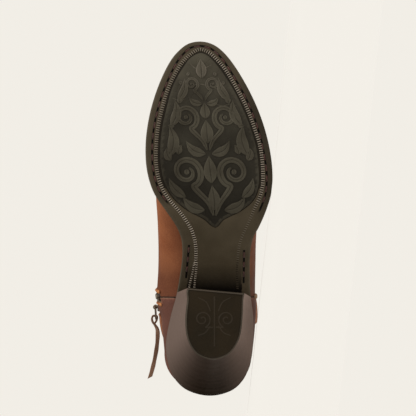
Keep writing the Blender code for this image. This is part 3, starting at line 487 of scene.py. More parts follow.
# Room
CAMERA_REACH = 1200.0
CAMERA_AIM = (144.3, 0.0, 0.0)
CAMERA_LEAN = 1.87
CAMERA_TILT = 1.0
CAMERA_LENS = 140.33
CAMERA_NEAR = 0.02
CREAM = (1.0, 0.965, 0.895)
AMBIENT = 0.20
BACKDROP = 0.885
FLOOR_HALF = 30.0
FLOOR_LIGHT = (0.585, 0.576, 0.554)
FLOOR_DARK = (0.575, 0.566, 0.544)
FLOOR_GLOW = 0.35
LIGHTS = table(
    "name direction spread power colour",
    ("key", (0.26, -0.22, 0.94), 40.0, 2.4, (1.0, 0.98, 0.95)),
    ("front", (0.50, -0.86, 0.10), 30.0, 0.75, (1.0, 1.0, 1.0)),
)


def shoe_frame():
    """The matrix from the boot's own millimetres to the model, from the two faces it stands on."""
    mounts = {mount["name"]: mount for mount in frame["record"]["mounts"]}
    heel = Vector(mounts["heel_face"]["pos_m"])
    ahead = (Vector(mounts["tread_face"]["pos_m"]) - heel).normalized()
    up = -Vector(mounts["heel_face"]["axis"]).normalized()
    place = Matrix((ahead, up.cross(ahead), up)).transposed().to_4x4()
    place.translation = heel - ahead * HEEL_MOUNT_U * MM
    return place @ Matrix.Scale(MM, 4)


SHOE = shoe_frame()

# Curves and outlines


def capped(share):
    return np.clip(share, 0.0, 1.0)


def unit(rows):
    return rows / np.linalg.norm(rows, axis=1)[:, None]


def cubic(start, end, leave, arrive, t):
    """A curve from start to end by its slopes at both."""
    place = start * (2 * t**3 - 3 * t**2 + 1) + end * (3 * t**2 - 2 * t**3)
    return place + leave * (t**3 - 2 * t**2 + t) + arrive * (t**3 - t**2)


def smooth(knots, values, at):
    """A cubic curve through the knots that never overshoots between them."""
    knots = np.asarray(knots, float)
    values = np.asarray(values, float)
    step = np.diff(knots)
    slope = np.diff(values) / step
    tangent = np.concatenate([slope[:1], np.zeros(len(slope) - 1), slope[-1:]])
    for i in range(1, len(slope)):
        before, after = slope[i - 1 : i + 1]
        if before * after > 0:
            tangent[i] = 2.0 * before * after / (before + after)
    at = np.clip(at, knots[0], knots[-1])
    k = np.clip(np.searchsorted(knots, at, side="right") - 1, 0, len(step) - 1)
    leave, arrive = tangent[k] * step[k], tangent[k + 1] * step[k]
    return cubic(values[k], values[k + 1], leave, arrive, (at - knots[k]) / step[k])


def along(rows, u):
    return smooth([row.u for row in rows], [row.value for row in rows], u)


def rounded(points, steps, closed=False):
    """A smooth curve through the points, with steps samples from each to the next."""
    points = np.asarray(points, float)
    if closed:
        padded = np.vstack([points[-1:], points, points[:2]])
    else:
        padded = np.vstack([2 * points[:1] - points[1:2], points, 2 * points[-1:] - points[-2:-1]])
    curve = []
    for before, start, end, after in zip(padded, padded[1:], padded[2:], padded[3:]):
        span = np.linalg.norm(end - start)
        leave = (end - before) * span / (np.linalg.norm(start - before) + span)
        arrive = (after - start) * span / (np.linalg.norm(after - end) + span)
        curve += [cubic(start, end, leave, arrive, t) for t in np.linspace(0, 1, steps, endpoint=False)]
    return np.array(curve if closed else curve + [points[-1]])


def run_of(points):
    """How far along a line each of its points lies."""
    return np.concatenate([[0.0], np.cumsum(np.linalg.norm(np.diff(points, axis=0), axis=1))])


def at_marks(marks, run, rows):
    """Rows of numbers read at marks along a run."""
    return np.column_stack([np.interp(marks, run, column) for column in rows.T])


def evenly(points, step):
    """The same open line with its points a fixed distance apart."""
    points = np.asarray(points, float)
    run = run_of(points)
    return at_marks(np.linspace(0.0, run[-1], max(2, int(round(run[-1] / step)) + 1)), run, points)


def headings(line, closed=False):
    """The way a line runs at each of its points."""
    if closed:
        return unit(np.roll(line, -1, axis=0) - np.roll(line, 1, axis=0))
    return unit(np.gradient(line, axis=0))


def circle(wide, deep, steps):
    turns = np.linspace(0, 2 * math.pi, steps, endpoint=False)
    return [(wide * math.cos(turn), deep * math.sin(turn)) for turn in turns]


class Outline:
    """A closed plan outline, which tells the v of either side at any u."""

    def __init__(self, loop):
        self.loop = np.roll(loop, -int(np.argmax(loop[:, 0])), axis=0)
        turn = int(np.argmin(self.loop[:, 0]))
        self.toe, self.heel = self.loop[0, 0], self.loop[turn, 0]
        self.lateral = self.loop[: turn + 1][::-1]
        self.medial = np.vstack([self.loop[turn:], self.loop[:1]])

    def side(self, name, u):
        rows = getattr(self, name)
        return np.interp(u, rows[:, 0], rows[:, 1])

    def inset(self, distance):
        """The same outline drawn in by a distance, or by distance(u)."""
        ahead = headings(self.loop, closed=True)
        inward = np.column_stack([-ahead[:, 1], ahead[:, 0]])
        away = distance(self.loop[:, 0]) if callable(distance) else distance
        return Outline(self.loop + inward * np.broadcast_to(away, len(self.loop))[:, None])


def outline_of(stations):
    """The toe end comes first, then the lateral side to the heel and the medial side back."""
    lateral = [(row.u, row.lateral) for row in stations]
    medial = [(row.u, row.medial) for row in reversed(stations)]
    points = lateral + [p for p in medial if p not in lateral]
    return Outline(rounded(points, OUTLINE_STEPS, closed=True))


def plan_loop(outline, height, steps=LENGTH_STEPS):
    """Points round an outline at height(u): medial side from heel to toe, then lateral back. They are
    close together at both ends for their round stretches."""
    us = outline.heel + (outline.toe - outline.heel) * (1 - np.cos(np.linspace(0, math.pi, steps + 1))) / 2
    medial = np.column_stack([us, outline.side("medial", us), height(us)])
    lateral = np.column_stack([us, outline.side("lateral", us), height(us)])
    return np.vstack([medial, lateral[::-1]])


def ring(outline, inset, foot, rise, steps=LENGTH_STEPS):
    """A loop round an outline drawn in by inset, at a rise above foot(u)."""
    return plan_loop(outline.inset(inset), lambda u: foot(u) + rise, steps)


def heel_loop(outline, breast, height):
    """The part of an outline behind its breast line, which slants from breast[0] to breast[1]."""
    shares = 1 - np.cos(np.linspace(0, math.pi / 2, HEEL_STEPS + 1))
    sides = []
    for name, front in zip(("medial", "lateral"), breast):
        us = outline.heel + (front - outline.heel) * shares
        sides.append(np.column_stack([us, outline.side(name, us), height(us)]))
    return np.vstack([sides[0], sides[1][::-1]])


def underside(u):
    return along(UNDERSIDE, u)


def welt_foot(u):
    return underside(u) + OUTSOLE_THICK + GAP


def welt_top(u):
    return welt_foot(u) + WELT_THICK


def upper_foot(u):
    return welt_top(u) + GAP


SOLE = outline_of(SOLE_OUTLINE)
LIFT = outline_of(LIFT_OUTLINE)
FEATHER = SOLE.inset(lambda u: along(MARGIN, u))
PANEL = Outline(rounded(PANEL_GROOVE[::-1], 8, closed=True))
RIBS = Outline(rounded(RIB_PATH, 8, closed=True))


def sole_normal(u):
    """The way the underside of the sole faces at u."""
    slope = underside(u + 0.5) - underside(u - 0.5)
    return unit(np.column_stack([slope, np.zeros_like(slope), -np.ones_like(slope)]))


def on_sole(path, lift=0.0):
    """Plan points laid on the underside of the sole, with lift above it towards the ground."""
    path = np.asarray(path, float)
    normals = sole_normal(path[:, 0])
    return np.column_stack([path, underside(path[:, 0])]) + normals * lift, normals


def forefoot_line(outline, ends, count):
    """A plan line from the inner side of the waist round the toe to the outer side."""
    sides = []
    for name, start in zip(("medial", "lateral"), ends):
        us = start + (outline.toe - start) * np.sin(np.linspace(0.0, math.pi / 2, count))
        sides.append(np.column_stack([us, outline.side(name, us)]))
    return evenly(np.vstack([sides[0], sides[1][::-1][1:]]), 0.8)


# Meshes: a solid is its points, its faces and a tone for each point


def add_piece(name, solid, material, slot, *nodes, angle=40.0, merge=True, body="boot"):
    """A piece from boot millimetres, which rides on its body and stands for these nodes of the model."""
    points, faces, tones = solid
    bm = bmesh.new()
    layer = bm.verts.layers.float.new("tone")
    verts = [bm.verts.new(p) for p in points]
    for vert, tone in zip(verts, tones):
        vert[layer] = tone
    for face in faces:
        bm.faces.new([verts[i] for i in face])
    bmesh.ops.delete(bm, geom=[v for v in bm.verts if not v.link_faces], context="VERTS")
    if merge:
        bmesh.ops.remove_doubles(bm, verts=bm.verts, dist=0.004)
        bmesh.ops.dissolve_degenerate(bm, edges=bm.edges, dist=0.004)
        bmesh.ops.recalc_face_normals(bm, faces=bm.faces)
    bm.transform(SHOE)
    mesh = bpy.data.meshes.new(name)
    bm.to_mesh(mesh)
    bm.free()
    mesh.materials.append(material)
    mesh.shade_smooth()
    mesh.set_sharp_from_angle(angle=math.radians(angle))
    piece = bpy.data.objects.new(name, mesh)
    bpy.context.scene.collection.objects.link(piece)
    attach(piece, body)
    if nodes:
        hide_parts(*nodes)
    return piece


def skin_faces(loops, count, closed=False):
    """Faces between loops of count points; closed joins the last loop to the first."""
    faces = []
    for level in range(loops if closed else loops - 1):
        low, high = level * count, (level + 1) % loops * count
        faces += [(low + i, low + (i + 1) % count, high + (i + 1) % count, high + i) for i in range(count)]
    return faces


def capped_skin(loops, count):
    """The same with both ends closed."""
    last = loops * count - 1
    return skin_faces(loops, count) + [tuple(range(count)), tuple(range(last, last - count, -1))]


def plate(rings, columns, height=None, field=0.0):
    """A solid over plan loops with tones, from its hidden side to its shown side. Both ends are closed
    by rungs from side to side; the shown end has columns, its own height(u, v) and tones field(u, v)."""
    loops = [loop for loop, _ in rings]
    count = len(loops[0])
    rows = count // 2
    tones = [np.broadcast_to(tone, count) for _, tone in rings]
    faces = skin_faces(len(loops), count)
    faces += [(i, i + 1, count - 2 - i, count - 1 - i) for i in range(rows - 1)]
    medial, lateral = loops[-1][:rows], loops[-1][rows:][::-1]
    base = len(loops) * count
    lines = []
    for k in range(columns + 1):
        line = medial + (lateral - medial) * (k / columns)
        if height is not None and 0 < k < columns:
            line[:, 2] += height(line[:, 0], line[:, 1])
        lines.append(line)
    for k in range(columns):
        for i in range(rows - 1):
            a, b = base + k * rows + i, base + (k + 1) * rows + i
            faces.append((a, a + 1, b + 1, b))
    shown = np.vstack(lines)
    shade = field(shown[:, 0], shown[:, 1]) if callable(field) else field
    return np.vstack(loops + [shown]), faces, np.concatenate(tones + [np.broadcast_to(shade, len(shown))])


def sweep(path, normals, profile, closed=False):
    """A profile of (across, out) or (across, out, tone) carried along a path; ends are capped."""
    path = np.asarray(path, float)
    ahead = headings(path, closed)
    across = unit(np.cross(ahead, normals))
    out = np.cross(across, ahead)
    points, tones = [], []
    for i in range(len(path)):
        for x, y, *tone in profile(i) if callable(profile) else profile:
            points.append(tuple(path[i] + across[i] * x + out[i] * y))
            tones += tone or [0.0]
    count = len(points) // len(path)
    faces = skin_faces(len(path), count, True) if closed else capped_skin(len(path), count)
    return points, faces, tones


def joined(solids):
    """Several solids put into one."""
    points, faces, tones = [], [], []
    for some_points, some_faces, some_tones in solids:
        base = len(points)
        points += some_points
        faces += [tuple(i + base for i in face) for face in some_faces]
        tones += some_tones
    return points, faces, tones


def stitches(path, normals, size):
    """Short plump threads along a line on a surface, each dipping in at both ends."""
    pitch, length, radius = size
    path = np.asarray(path, float)
    normals = np.asarray(normals, float)
    run = run_of(path)
    shapes = [circle(share * radius, share * radius, THREAD_SIDES) for share in STITCH_SHAPE[:, 1]]
    threads = []
    for start in np.arange((pitch - length) / 2, run[-1] - length, pitch):
        marks = start + STITCH_SHAPE[:, 0] * length
        outs = unit(at_marks(marks, run, normals))
        places = at_marks(marks, run, path) + outs * STITCH_SHAPE[:, 2:] * radius
        threads.append(sweep(places, outs, lambda i: shapes[i]))
    return joined(threads)


def two_sided(half, *middle):
    """A profile from its right half, which the left half mirrors."""
    return [(-x, *rest) for x, *rest in reversed(half)] + [*middle, *half]


def ridge_shape(width, height, foot, tones):
    """The profile of a low ridge: feet, shoulders and top, with their tones."""
    half = width / 2
    near, low = half * 0.7, height * 0.7
    places = ((-half, foot), (-near, low), (0.0, height), (near, low), (half, foot))
    return [(x, y, tone) for (x, y), tone in zip(places, tones)]


def strip_shape(half, foot, side, flat, top):
    """The profile of a raised strip, whose flat is a share of its half width."""
    return two_sided(((flat * half, top), (half, side), (half, foot)))


# Materials


class Finish:
    """A material whose textures lie in the model's own space."""

    def __init__(self, name, **constants):
        self.material = bpy.data.materials.new(name)
        self.material.use_nodes = True
        self.tree = self.material.node_tree
        self.shader = self.tree.nodes["Principled BSDF"]
        for socket, value in constants.items():
            self.shader.inputs[socket.replace("_", " ")].default_value = value
        self.space = self.node("TexCoord", "Object", {})

    def node(self, kind, output, inputs, **settings):
        """An output of a new node, whose inputs are numbers, colours or other nodes' outputs."""
        made = self.tree.nodes.new("ShaderNode" + kind)
        for name, value in settings.items():
            setattr(made, name, value)
        for socket, value in inputs.items():
            if isinstance(value, bpy.types.NodeSocket):
                self.tree.links.new(value, made.inputs[socket])
            else:
                made.inputs[socket].default_value = value
        return made.outputs[output]

    def noise(self, scale, detail=4.0):
        return self.node("TexNoise", "Fac", {"Scale": scale, "Detail": detail, "Vector": self.space})

    def cells(self, scale, feature="F1", bend=0.0):
        """Cell pattern; bend shakes its lines with noise."""
        space = self.space
        if bend:
            shake = self.node("TexNoise", "Color", {"Scale": scale * 0.8, "Vector": self.space})
            space = self.node("Mix", 1, {"Factor": bend, 4: self.space, 5: shake}, data_type="VECTOR")
        return self.node("TexVoronoi", "Distance", {"Scale": scale, "Vector": space}, feature=feature)

    def ranged(self, value, low, high, to_low=0.0, to_high=1.0):
        ends = {"From Min": low, "From Max": high, "To Min": to_low, "To Max": to_high}
        return self.node("MapRange", "Result", {"Value": value, **ends})

    def tone(self):
        return self.node("Attribute", "Fac", {}, attribute_name="tone")

    def added(self, a, b):
        return self.node("Math", "Value", {0: a, 1: b}, operation="ADD")

    def mixed(self, share, first, second):
        """Two colours, or colour outputs, mixed by share."""
        first, second = ((*c, 1.0) if isinstance(c, tuple) else c for c in (first, second))
        return self.node("Mix", 2, {"Factor": share, 6: first, 7: second}, data_type="RGBA")

    def done(self, colour, grain, low, high, *layers):
        """The finished material: its colour, its roughness from low to high with noise of the scale
        grain, and bump layers of (height, strength, distance in millimetres)."""
        inputs = {"Base Color": colour, "Roughness": self.ranged(self.noise(grain), 0.3, 0.7, low, high)}
        for height, strength, distance in layers:
            bump = {"Strength": strength, "Distance": distance * MM, "Height": height}
            if "Normal" in inputs:
                bump["Normal"] = inputs["Normal"]
            inputs["Normal"] = self.node("Bump", "Normal", bump)
        for socket, output in inputs.items():
            self.tree.links.new(output, self.shader.inputs[socket])
        return self.material


def leather(name, light, dark, deep, edge, rough=0.46):
    """Smooth leather with soft mottling and fine pores. Tone 1 is a raw edge colour, also a painted highlight on
    the counter's rim; towards -1 it turns deep, which stands for painted shade and painted shadow, and for dyed
    cut edges.
    """
    made = Finish(name, Specular_IOR_Level=0.08)
    cloud = made.ranged(made.noise(38.0, 5.0), 0.38, 0.62)
    speck = made.ranged(made.noise(900.0, 2.0), 0.40, 0.72, 0.0, 0.5)
    base = made.mixed(made.added(cloud, speck), dark, light)
    base = made.mixed(made.ranged(made.tone(), 0.0, 1.0), base, edge)
    base = made.mixed(made.ranged(made.tone(), 0.0, -1.0), base, deep)
    pores = (made.cells(760.0), 0.38, 0.3)
    grain = (made.noise(2200.0, 2.0), 0.2, 0.12)
    return made.done(base, 160.0, rough - 0.07, rough + 0.09, pores, grain, (made.noise(120.0), 0.12, 0.6))


def sole_rubber(name, light, dark, crackle):
    """Dull moulded rubber with a leather-like crackle. Tone 1 is near black, painted shade in grooves and
    recesses; towards -1.5 it turns pale, painted highlight on edges, rib crests and ridge tops, partly also wear
    on the edges.
    """
    made = Finish(name, Specular_IOR_Level=0.10)
    base = made.mixed(made.ranged(made.noise(55.0, 6.0), 0.30, 0.70), dark, light)
    base = made.mixed(made.ranged(made.tone(), 0.0, 1.0), base, (0.004, 0.003, 0.002))
    base = made.mixed(made.ranged(made.tone(), 0.0, -1.5), base, (0.520, 0.445, 0.370))
    lines = made.ranged(made.cells(70.0, "DISTANCE_TO_EDGE", 0.02), 0.0, 0.045)
    grain = (made.cells(620.0), 0.25, 0.25)
    fine = (made.noise(1500.0, 3.0), 0.2, 0.15)
    return made.done(base, 220.0, 0.48, 0.68, (lines, crackle, 0.35), grain, fine)


def stacked(name, light, dark):
    """Thin pressed layers under a burnished satin dressing; tone 1 is the pale side with its painted highlight, 0
    the dark rear in painted shade.
    """
    made = Finish(name, Specular_IOR_Level=0.015)
    fibre = made.ranged(made.noise(420.0, 5.0), 0.3, 0.7, -0.012, 0.012)
    base = made.mixed(made.added(made.tone(), fibre), dark, light)
    grain = (made.noise(700.0, 4.0), 0.1, 0.2)
    return made.done(base, 260.0, 0.36, 0.48, grain, (made.noise(60.0), 0.08, 0.5))


def thread(name, light, dark):
    made = Finish(name, Specular_IOR_Level=0.35, Sheen_Weight=0.2)
    base = made.mixed(made.ranged(made.noise(300.0), 0.35, 0.65), dark, light)
    return made.done(base, 500.0, 0.55, 0.75, (made.noise(2600.0, 2.0), 0.4, 0.15))


def suede(name, light, dark):
    made = Finish(name, Specular_IOR_Level=0.25, Sheen_Weight=0.25)
    base = made.mixed(made.ranged(made.noise(90.0, 5.0), 0.3, 0.7), dark, light)
    return made.done(base, 300.0, 0.75, 0.92, (made.noise(1400.0, 4.0), 0.35, 0.2))


def woven(name, light, dark):
    """Twill tape: fine slanting ridges."""
    made = Finish(name, Specular_IOR_Level=0.2, Sheen_Weight=0.15)
    inputs = {"Scale": 480.0, "Distortion": 1.5, "Vector": made.space}
    wave = made.node("TexWave", "Fac", inputs, bands_direction="DIAGONAL")
    return made.done(made.mixed(wave, dark, light), 300.0, 0.8, 0.95, (wave, 0.5, 0.25))


def aged_metal(name, light, dark):
    """Cast metal with a dark patina in the hollows and rubbed high spots."""
    made = Finish(name, Metallic=1.0)
    base = made.mixed(made.ranged(made.noise(380.0, 6.0), 0.38, 0.62), dark, light)
    return made.done(base, 700.0, 0.26, 0.5, (made.noise(1100.0, 3.0), 0.12, 0.15))


RAW_EDGE = (0.42, 0.27, 0.16)
TAN = leather(
    "tan_leather_finish", (0.345, 0.124, 0.052), (0.245, 0.079, 0.033), (0.090, 0.032, 0.019), RAW_EDGE
)
COUNTER_TAN = leather(
    "counter_leather_finish",
    (0.230, 0.093, 0.062), (0.160, 0.063, 0.043), (0.080, 0.037, 0.028), (0.34, 0.22, 0.14),
)
THONG_BROWN = leather(
    "thong_finish",
    (0.240, 0.140, 0.090), (0.145, 0.084, 0.054), (0.04, 0.02, 0.014), (0.26, 0.16, 0.1), 0.55,
)
DARK = leather(
    "dark_leather_finish",
    (0.110, 0.056, 0.034), (0.060, 0.031, 0.020), (0.03, 0.016, 0.01), (0.2, 0.13, 0.09), 0.52,
)
PIPING_TAN = leather(
    "piping_finish", (0.560, 0.390, 0.270), (0.400, 0.260, 0.170), (0.1, 0.05, 0.03), RAW_EDGE, 0.5
)
# The strap's leather is a paler copy of the tan, painted light that offsets the shade it lies in by the floor
STRAP_TAN = leather(
    "strap_finish", (0.450, 0.185, 0.080), (0.340, 0.125, 0.054), (0.120, 0.045, 0.026), RAW_EDGE
)
LINING = suede("lining_finish", (0.46, 0.33, 0.22), (0.36, 0.25, 0.16))
RUBBER = sole_rubber("sole_rubber_finish", (0.080, 0.063, 0.040), (0.058, 0.045, 0.027), 0.12)
PANEL_RUBBER = sole_rubber("panel_rubber_finish", (0.094, 0.084, 0.060), (0.048, 0.041, 0.028), 0.5)
LIFT_RUBBER = sole_rubber("top_lift_finish", (0.024, 0.016, 0.0075), (0.016, 0.011, 0.005), 0.3)
HEEL = stacked("stacked_heel_finish", (0.250, 0.180, 0.150), (0.010, 0.0055, 0.002))
SOLE_THREAD = thread("sole_thread_finish", (0.076, 0.021, 0.014), (0.040, 0.012, 0.008))
COUNTER_THREAD = thread("counter_thread_finish", (0.230, 0.100, 0.055), (0.150, 0.062, 0.035))
SEAM_THREAD = thread("seam_thread_finish", (0.560, 0.215, 0.055), (0.400, 0.140, 0.036))
TAPE = woven("zip_tape_finish", (0.090, 0.062, 0.046), (0.045, 0.030, 0.023))
METAL = aged_metal("aged_metal_finish", (0.34, 0.28, 0.21), (0.09, 0.075, 0.06))

# Sole and heel


def channel_share(loop):
    """1 where the stitch channel runs, easing to 0 at its ends in the waist."""
    return capped((loop[:, 0] - np.repeat(CHANNEL_ENDS, len(loop) // 2)) / CHANNEL_EASE)


def bed_share(u, v):
    """1 where the underside is sunk to carry the forefoot panel, inside the ribbed band."""
    inside = (v > RIBS.side("medial", u) + BED_MARGIN) & (v < RIBS.side("lateral", u) - BED_MARGIN)
    return inside * capped((u - BED_START) / BED_EASE)


# Painted shade along the outer edge of the forefoot
def edge_shade(loop):
    along_share = capped((loop[:, 0] - EDGE_SHADE.u) / EDGE_SHADE.along)
    return EDGE_SHADE.tone * along_share * capped((loop[:, 1] - EDGE_SHADE.v) / EDGE_SHADE.across)


def sole_shade(u, v):
    """Painted shade on the underside: in the corner in front of the heel and under the panel's edge."""
    dark, light = BREAST_SHADE
    return np.maximum(capped((light - u) / (light - dark)), BED_DARK * bed_share(u, v))


def make_outsole():
    """Wall, rounded lower edge, flat edge band, stitch channel and a bed for the panel."""
    rings = []
    # Tones: painted shade along the outer forefoot edge, down in the stitch channel and, on the shown face, in
    # front of the heel and round the panel; a slightly paler lower edge, painted highlight
    for inset, rise, tone in EDGE_RINGS:
        loop = ring(SOLE, inset, underside, rise)
        rings.append((loop, tone + edge_shade(loop)))
    for offset, depth, tone in CHANNEL_RINGS:
        loop = ring(SOLE, lambda u: along(CHANNEL, u) + offset, underside, 0.0)
        share = channel_share(loop)
        loop[:, 2] += share * depth * CHANNEL_DEPTH
        rings.append((loop, np.maximum(share * tone, edge_shade(loop))))
    solid = plate(rings, 64, lambda u, v: SOLE_BED * bed_share(u, v), sole_shade)
    add_piece("outsole_body", solid, RUBBER, "rubber", "outsole", angle=32.0)


def make_waist_plates():
    """The waist runs on between the ribbed band and the groove of the panel's pointed end."""
    plates = []
    us = np.linspace(BED_START - 2.0, WAIST_PLATE_END, WAIST_PLATE_STEPS)
    lip = capped((us - PANEL.heel) / LIP_REACH)
    # Row tones give painted shade at the plate's foot by the ribs and at its lip by the panel's groove
    rows = [(0.0, SOLE_BED, 0.5)] + [(across, WAIST_RISE, 0.0) for across in (0.0, 0.5, 0.97)]
    rows += [(1.0, WAIST_RISE + LIP_DROP * lip, 0.6 * lip), (1.0, SOLE_BED, lip)]
    for side, sign in (("medial", 1.0), ("lateral", -1.0)):
        near = RIBS.side(side, us)
        far = np.where(us < PANEL.heel, PANEL.medial[0, 1], PANEL.side(side, us)) - sign * LIP_WIDTH * lip
        far = np.where(sign * (far - near) < WAIST_LEAST, near + sign * WAIST_LEAST, far)
        lines = [np.column_stack([us, near + (far - near) * x, underside(us) + rise]) for x, rise, _ in rows]
        tones = np.column_stack([np.broadcast_to(tone, len(us)) for _, _, tone in rows])
        points = np.stack(lines, axis=1).reshape(-1, 3)
        plates.append((list(points), capped_skin(len(us), len(rows)), list(tones.ravel())))
    add_piece("waist_plates", joined(plates), RUBBER, "rubber")


def make_panel():
    """The forefoot panel inside the groove, softly crowned and with a rounded edge."""
    # Painted shade: dark at the groove round the edge, and on the ground darker towards the waist
    rings = []
    for inset, rise, tone in PANEL_RINGS:
        loop = ring(PANEL, inset, underside, rise, 150)
        rings.append((loop, np.maximum(tone, BORDER_SHARE * along(GROUND_TONE, loop[:, 0]))))
    solid = plate(rings, 56, field=lambda u, v: along(GROUND_TONE, u))
    add_piece("forefoot_panel", solid, PANEL_RUBBER, "rubber")


def rib_band(path, half_width):
    """A raised band of close cross ribs, which is fainter on the outer waist."""
    line = evenly(rounded(path, 10), RIB_PITCH / RIB_SAMPLES)
    shade, start, reach = RIB_CORNER

    def profile(i):
        wave = 0.5 + 0.5 * math.cos(2 * math.pi * i / RIB_SAMPLES)
        u, v = line[i]
        strength = np.interp(u, *(INNER_RIBS if v < 0 else OUTER_RIBS))
        bold = min(strength, 1.0)
        top = SOLE_BED + RIB_BASE + RIB_RISE * wave * bold
        crest = capped(2.0 * wave - 0.9)
        # Painted shade in the troughs and painted highlight on the crests; RIB_CORNER adds painted shade near the
        # heel on the outer side
        tone = shade * capped((start - u) / reach) * (v > 0) + bold * (1.0 - crest) - strength * crest
        return [(x * half_width, h * top, tone if h else RIB_FOOT_TONE) for x, h in RIB_PROFILE]

    return sweep(*on_sole(line, -SOLE_BED), profile)


def make_ribs():
    bands = [rib_band(RIB_PATH, RIB_HALF_WIDTH)]
    bands += [rib_band(path, STRAND_HALF_WIDTH) for path in RIB_STRANDS]
    add_piece("ribbed_band", joined(bands), RUBBER, "rubber", angle=60.0)


def mirrored(path, hand):
    """A plan line drawn as (u, distance from the panel's middle), laid on one side of it."""
    u, away = np.asarray(path, float).T
    return np.column_stack([u, (PANEL.side("medial", u) + PANEL.side("lateral", u)) / 2 + hand * away])


def crease_ridge(path):
    """A low ridge along a plan line on the sole, tapered at both ends."""
    line = evenly(rounded(path, 8), 0.5)
    last = len(line) - 1

    def profile(i):
        taper = min(1.0, 0.25 + 3.0 * min(i, last - i) / (last + 1))
        height = CREASE_HEIGHT * (0.4 + 0.6 * taper)
        return ridge_shape(CREASE_WIDTH * taper, height, CREASE_FOOT, CREASE_TONES)

    return sweep(*on_sole(line, TOOLING_SINK), profile)


def ribbon(line, widths):
    """A flat-topped band with a sunk middle line and steep sides along a plan line on the sole."""
    narrowest = 0.3 * max(widths)
    shape = two_sided(RIBBON_HALF, RIBBON_MIDDLE)

    def profile(i):
        top = RELIEF * min(1.0, widths[i] / narrowest)
        return [(share * widths[i] / 2, level * top, tone) for share, level, tone in shape]

    return sweep(*on_sole(line, TOOLING_SINK), profile)


def leaf_ridge(root, tip, width, hand, bend=0.0):
    """A pointed leaf between two plan places on one side of the panel's middle."""
    root, tip = np.asarray(root, float), np.asarray(tip, float)
    ahead = tip - root
    side = np.array([-ahead[1], ahead[0]]) * bend
    shares = np.linspace(0.0, 1.0, 22)
    line = root + ahead * shares[:, None] + side * np.sin(math.pi * shares)[:, None]
    swell = np.sin(math.pi * np.clip(shares, 0.02, 0.98) ** 0.75)
    return ribbon(mirrored(line, hand), width * swell)


def towards(bearing):
    return np.array([math.cos(math.radians(bearing)), math.sin(math.radians(bearing))])


def coil_points(row, eye, count):
    """Plan points of a coil that winds in from its size to the share eye of it."""
    shares = np.linspace(0.0, 1.0, count)
    bearings = math.radians(COIL_START) + 2 * math.pi * row.turns * shares
    radii = row.size * (1.0 - (1.0 - eye) * shares)
    return np.column_stack([row.u + radii * np.cos(bearings), row.side + radii * np.sin(bearings)])


def scroll_ridges(row, hand):
    """One scroll: its stem and coil as a ribbon, the eye, and the leaves round the coil."""
    coil = coil_points(row, COIL_EYE, int(18 * row.turns))
    knee = (row.root + 0.42 * (coil[0, 0] - row.root), 0.22 * coil[0, 1] + 1.0)
    path = evenly(rounded(np.vstack([[(row.root, 0.8), knee], coil]), 6), 0.6)
    run = np.linspace(0.0, 1.0, len(path))
    taper = np.interp(run, (0.0, 0.06, 0.4, 0.92, 1.0), (0.25, 0.7, 1.0, 0.62, 0.3))
    widths = RIBBON_WIDTH * row.size * taper
    ridges = [ribbon(mirrored(path, hand), widths)]
    eye = np.column_stack([row.u + np.linspace(-0.17, 0.17, 9) * row.size, np.full(9, row.side)])
    round_eye = 0.34 * row.size * np.sqrt(1.0 - np.linspace(-0.98, 0.98, 9) ** 2)
    ridges.append(ribbon(mirrored(eye, hand), round_eye))
    for leaf in COIL_LEAVES:
        root = np.array([row.u, row.side]) + row.size * 1.2 * towards(leaf.root)
        tip = root + row.size * leaf.length * towards(leaf.tip)
        room = (PANEL.side("lateral", tip[0]) - PANEL.side("medial", tip[0])) / 2 - LEAF_MARGIN
        if max(root[1], tip[1]) <= room:
            ridges.append(leaf_ridge(root, tip, leaf.width * row.size, hand, LEAF_BEND))
    return ridges


def make_scrolls():
    """Paired scrolls and leaves that grow from a middle stem, and the creases across them."""
    ridges = []
    for hand in BOTH_HANDS:
        for row in SCROLLS:
            ridges += scroll_ridges(row, hand)
        ridges += [leaf_ridge(leaf.root, leaf.tip, leaf.width, hand, leaf.bend) for leaf in SIDE_LEAVES]
    ridges += [leaf_ridge((root, 0.0), (tip, 0.0), width, 1.0) for root, tip, width in MIDDLE_LEAVES]
    ridges += [crease_ridge(path) for path in CREASES]
    points, faces, tones = joined(ridges)
    # The raised work takes a share of the ground's painted shade and is made paler, a painted highlight
    ground = along(GROUND_TONE, [point[0] for point in points])
    tones = np.array(tones) + RAISED_SHARE * ground - RAISED_PALE
    add_piece("panel_scrolls", (points, faces, tones), PANEL_RUBBER, "rubber", angle=30.0)


def make_sole_stitches():
    """Long stitches at the bottom of the channel, and in two shallow dark slots of the waist."""
    line = forefoot_line(SOLE.inset(lambda u: along(CHANNEL, u)), CHANNEL_STITCH_ENDS, 120)
    threads = [stitches(*on_sole(line, -CHANNEL_DEPTH * STITCH_DEPTH), CHANNEL_STITCH)]
    slots = [evenly(slot, 0.8) for slot in WAIST_SLOTS]
    threads += [stitches(*on_sole(slot, -0.1), SLOT_STITCH) for slot in slots]
    add_piece("sole_stitches", joined(threads), SOLE_THREAD, "dark_leather", angle=60.0)
    lips = [sweep(*on_sole(slot), two_sided(SLOT_HALF)) for slot in slots]
    add_piece("waist_slots", joined(lips), RUBBER, "rubber")


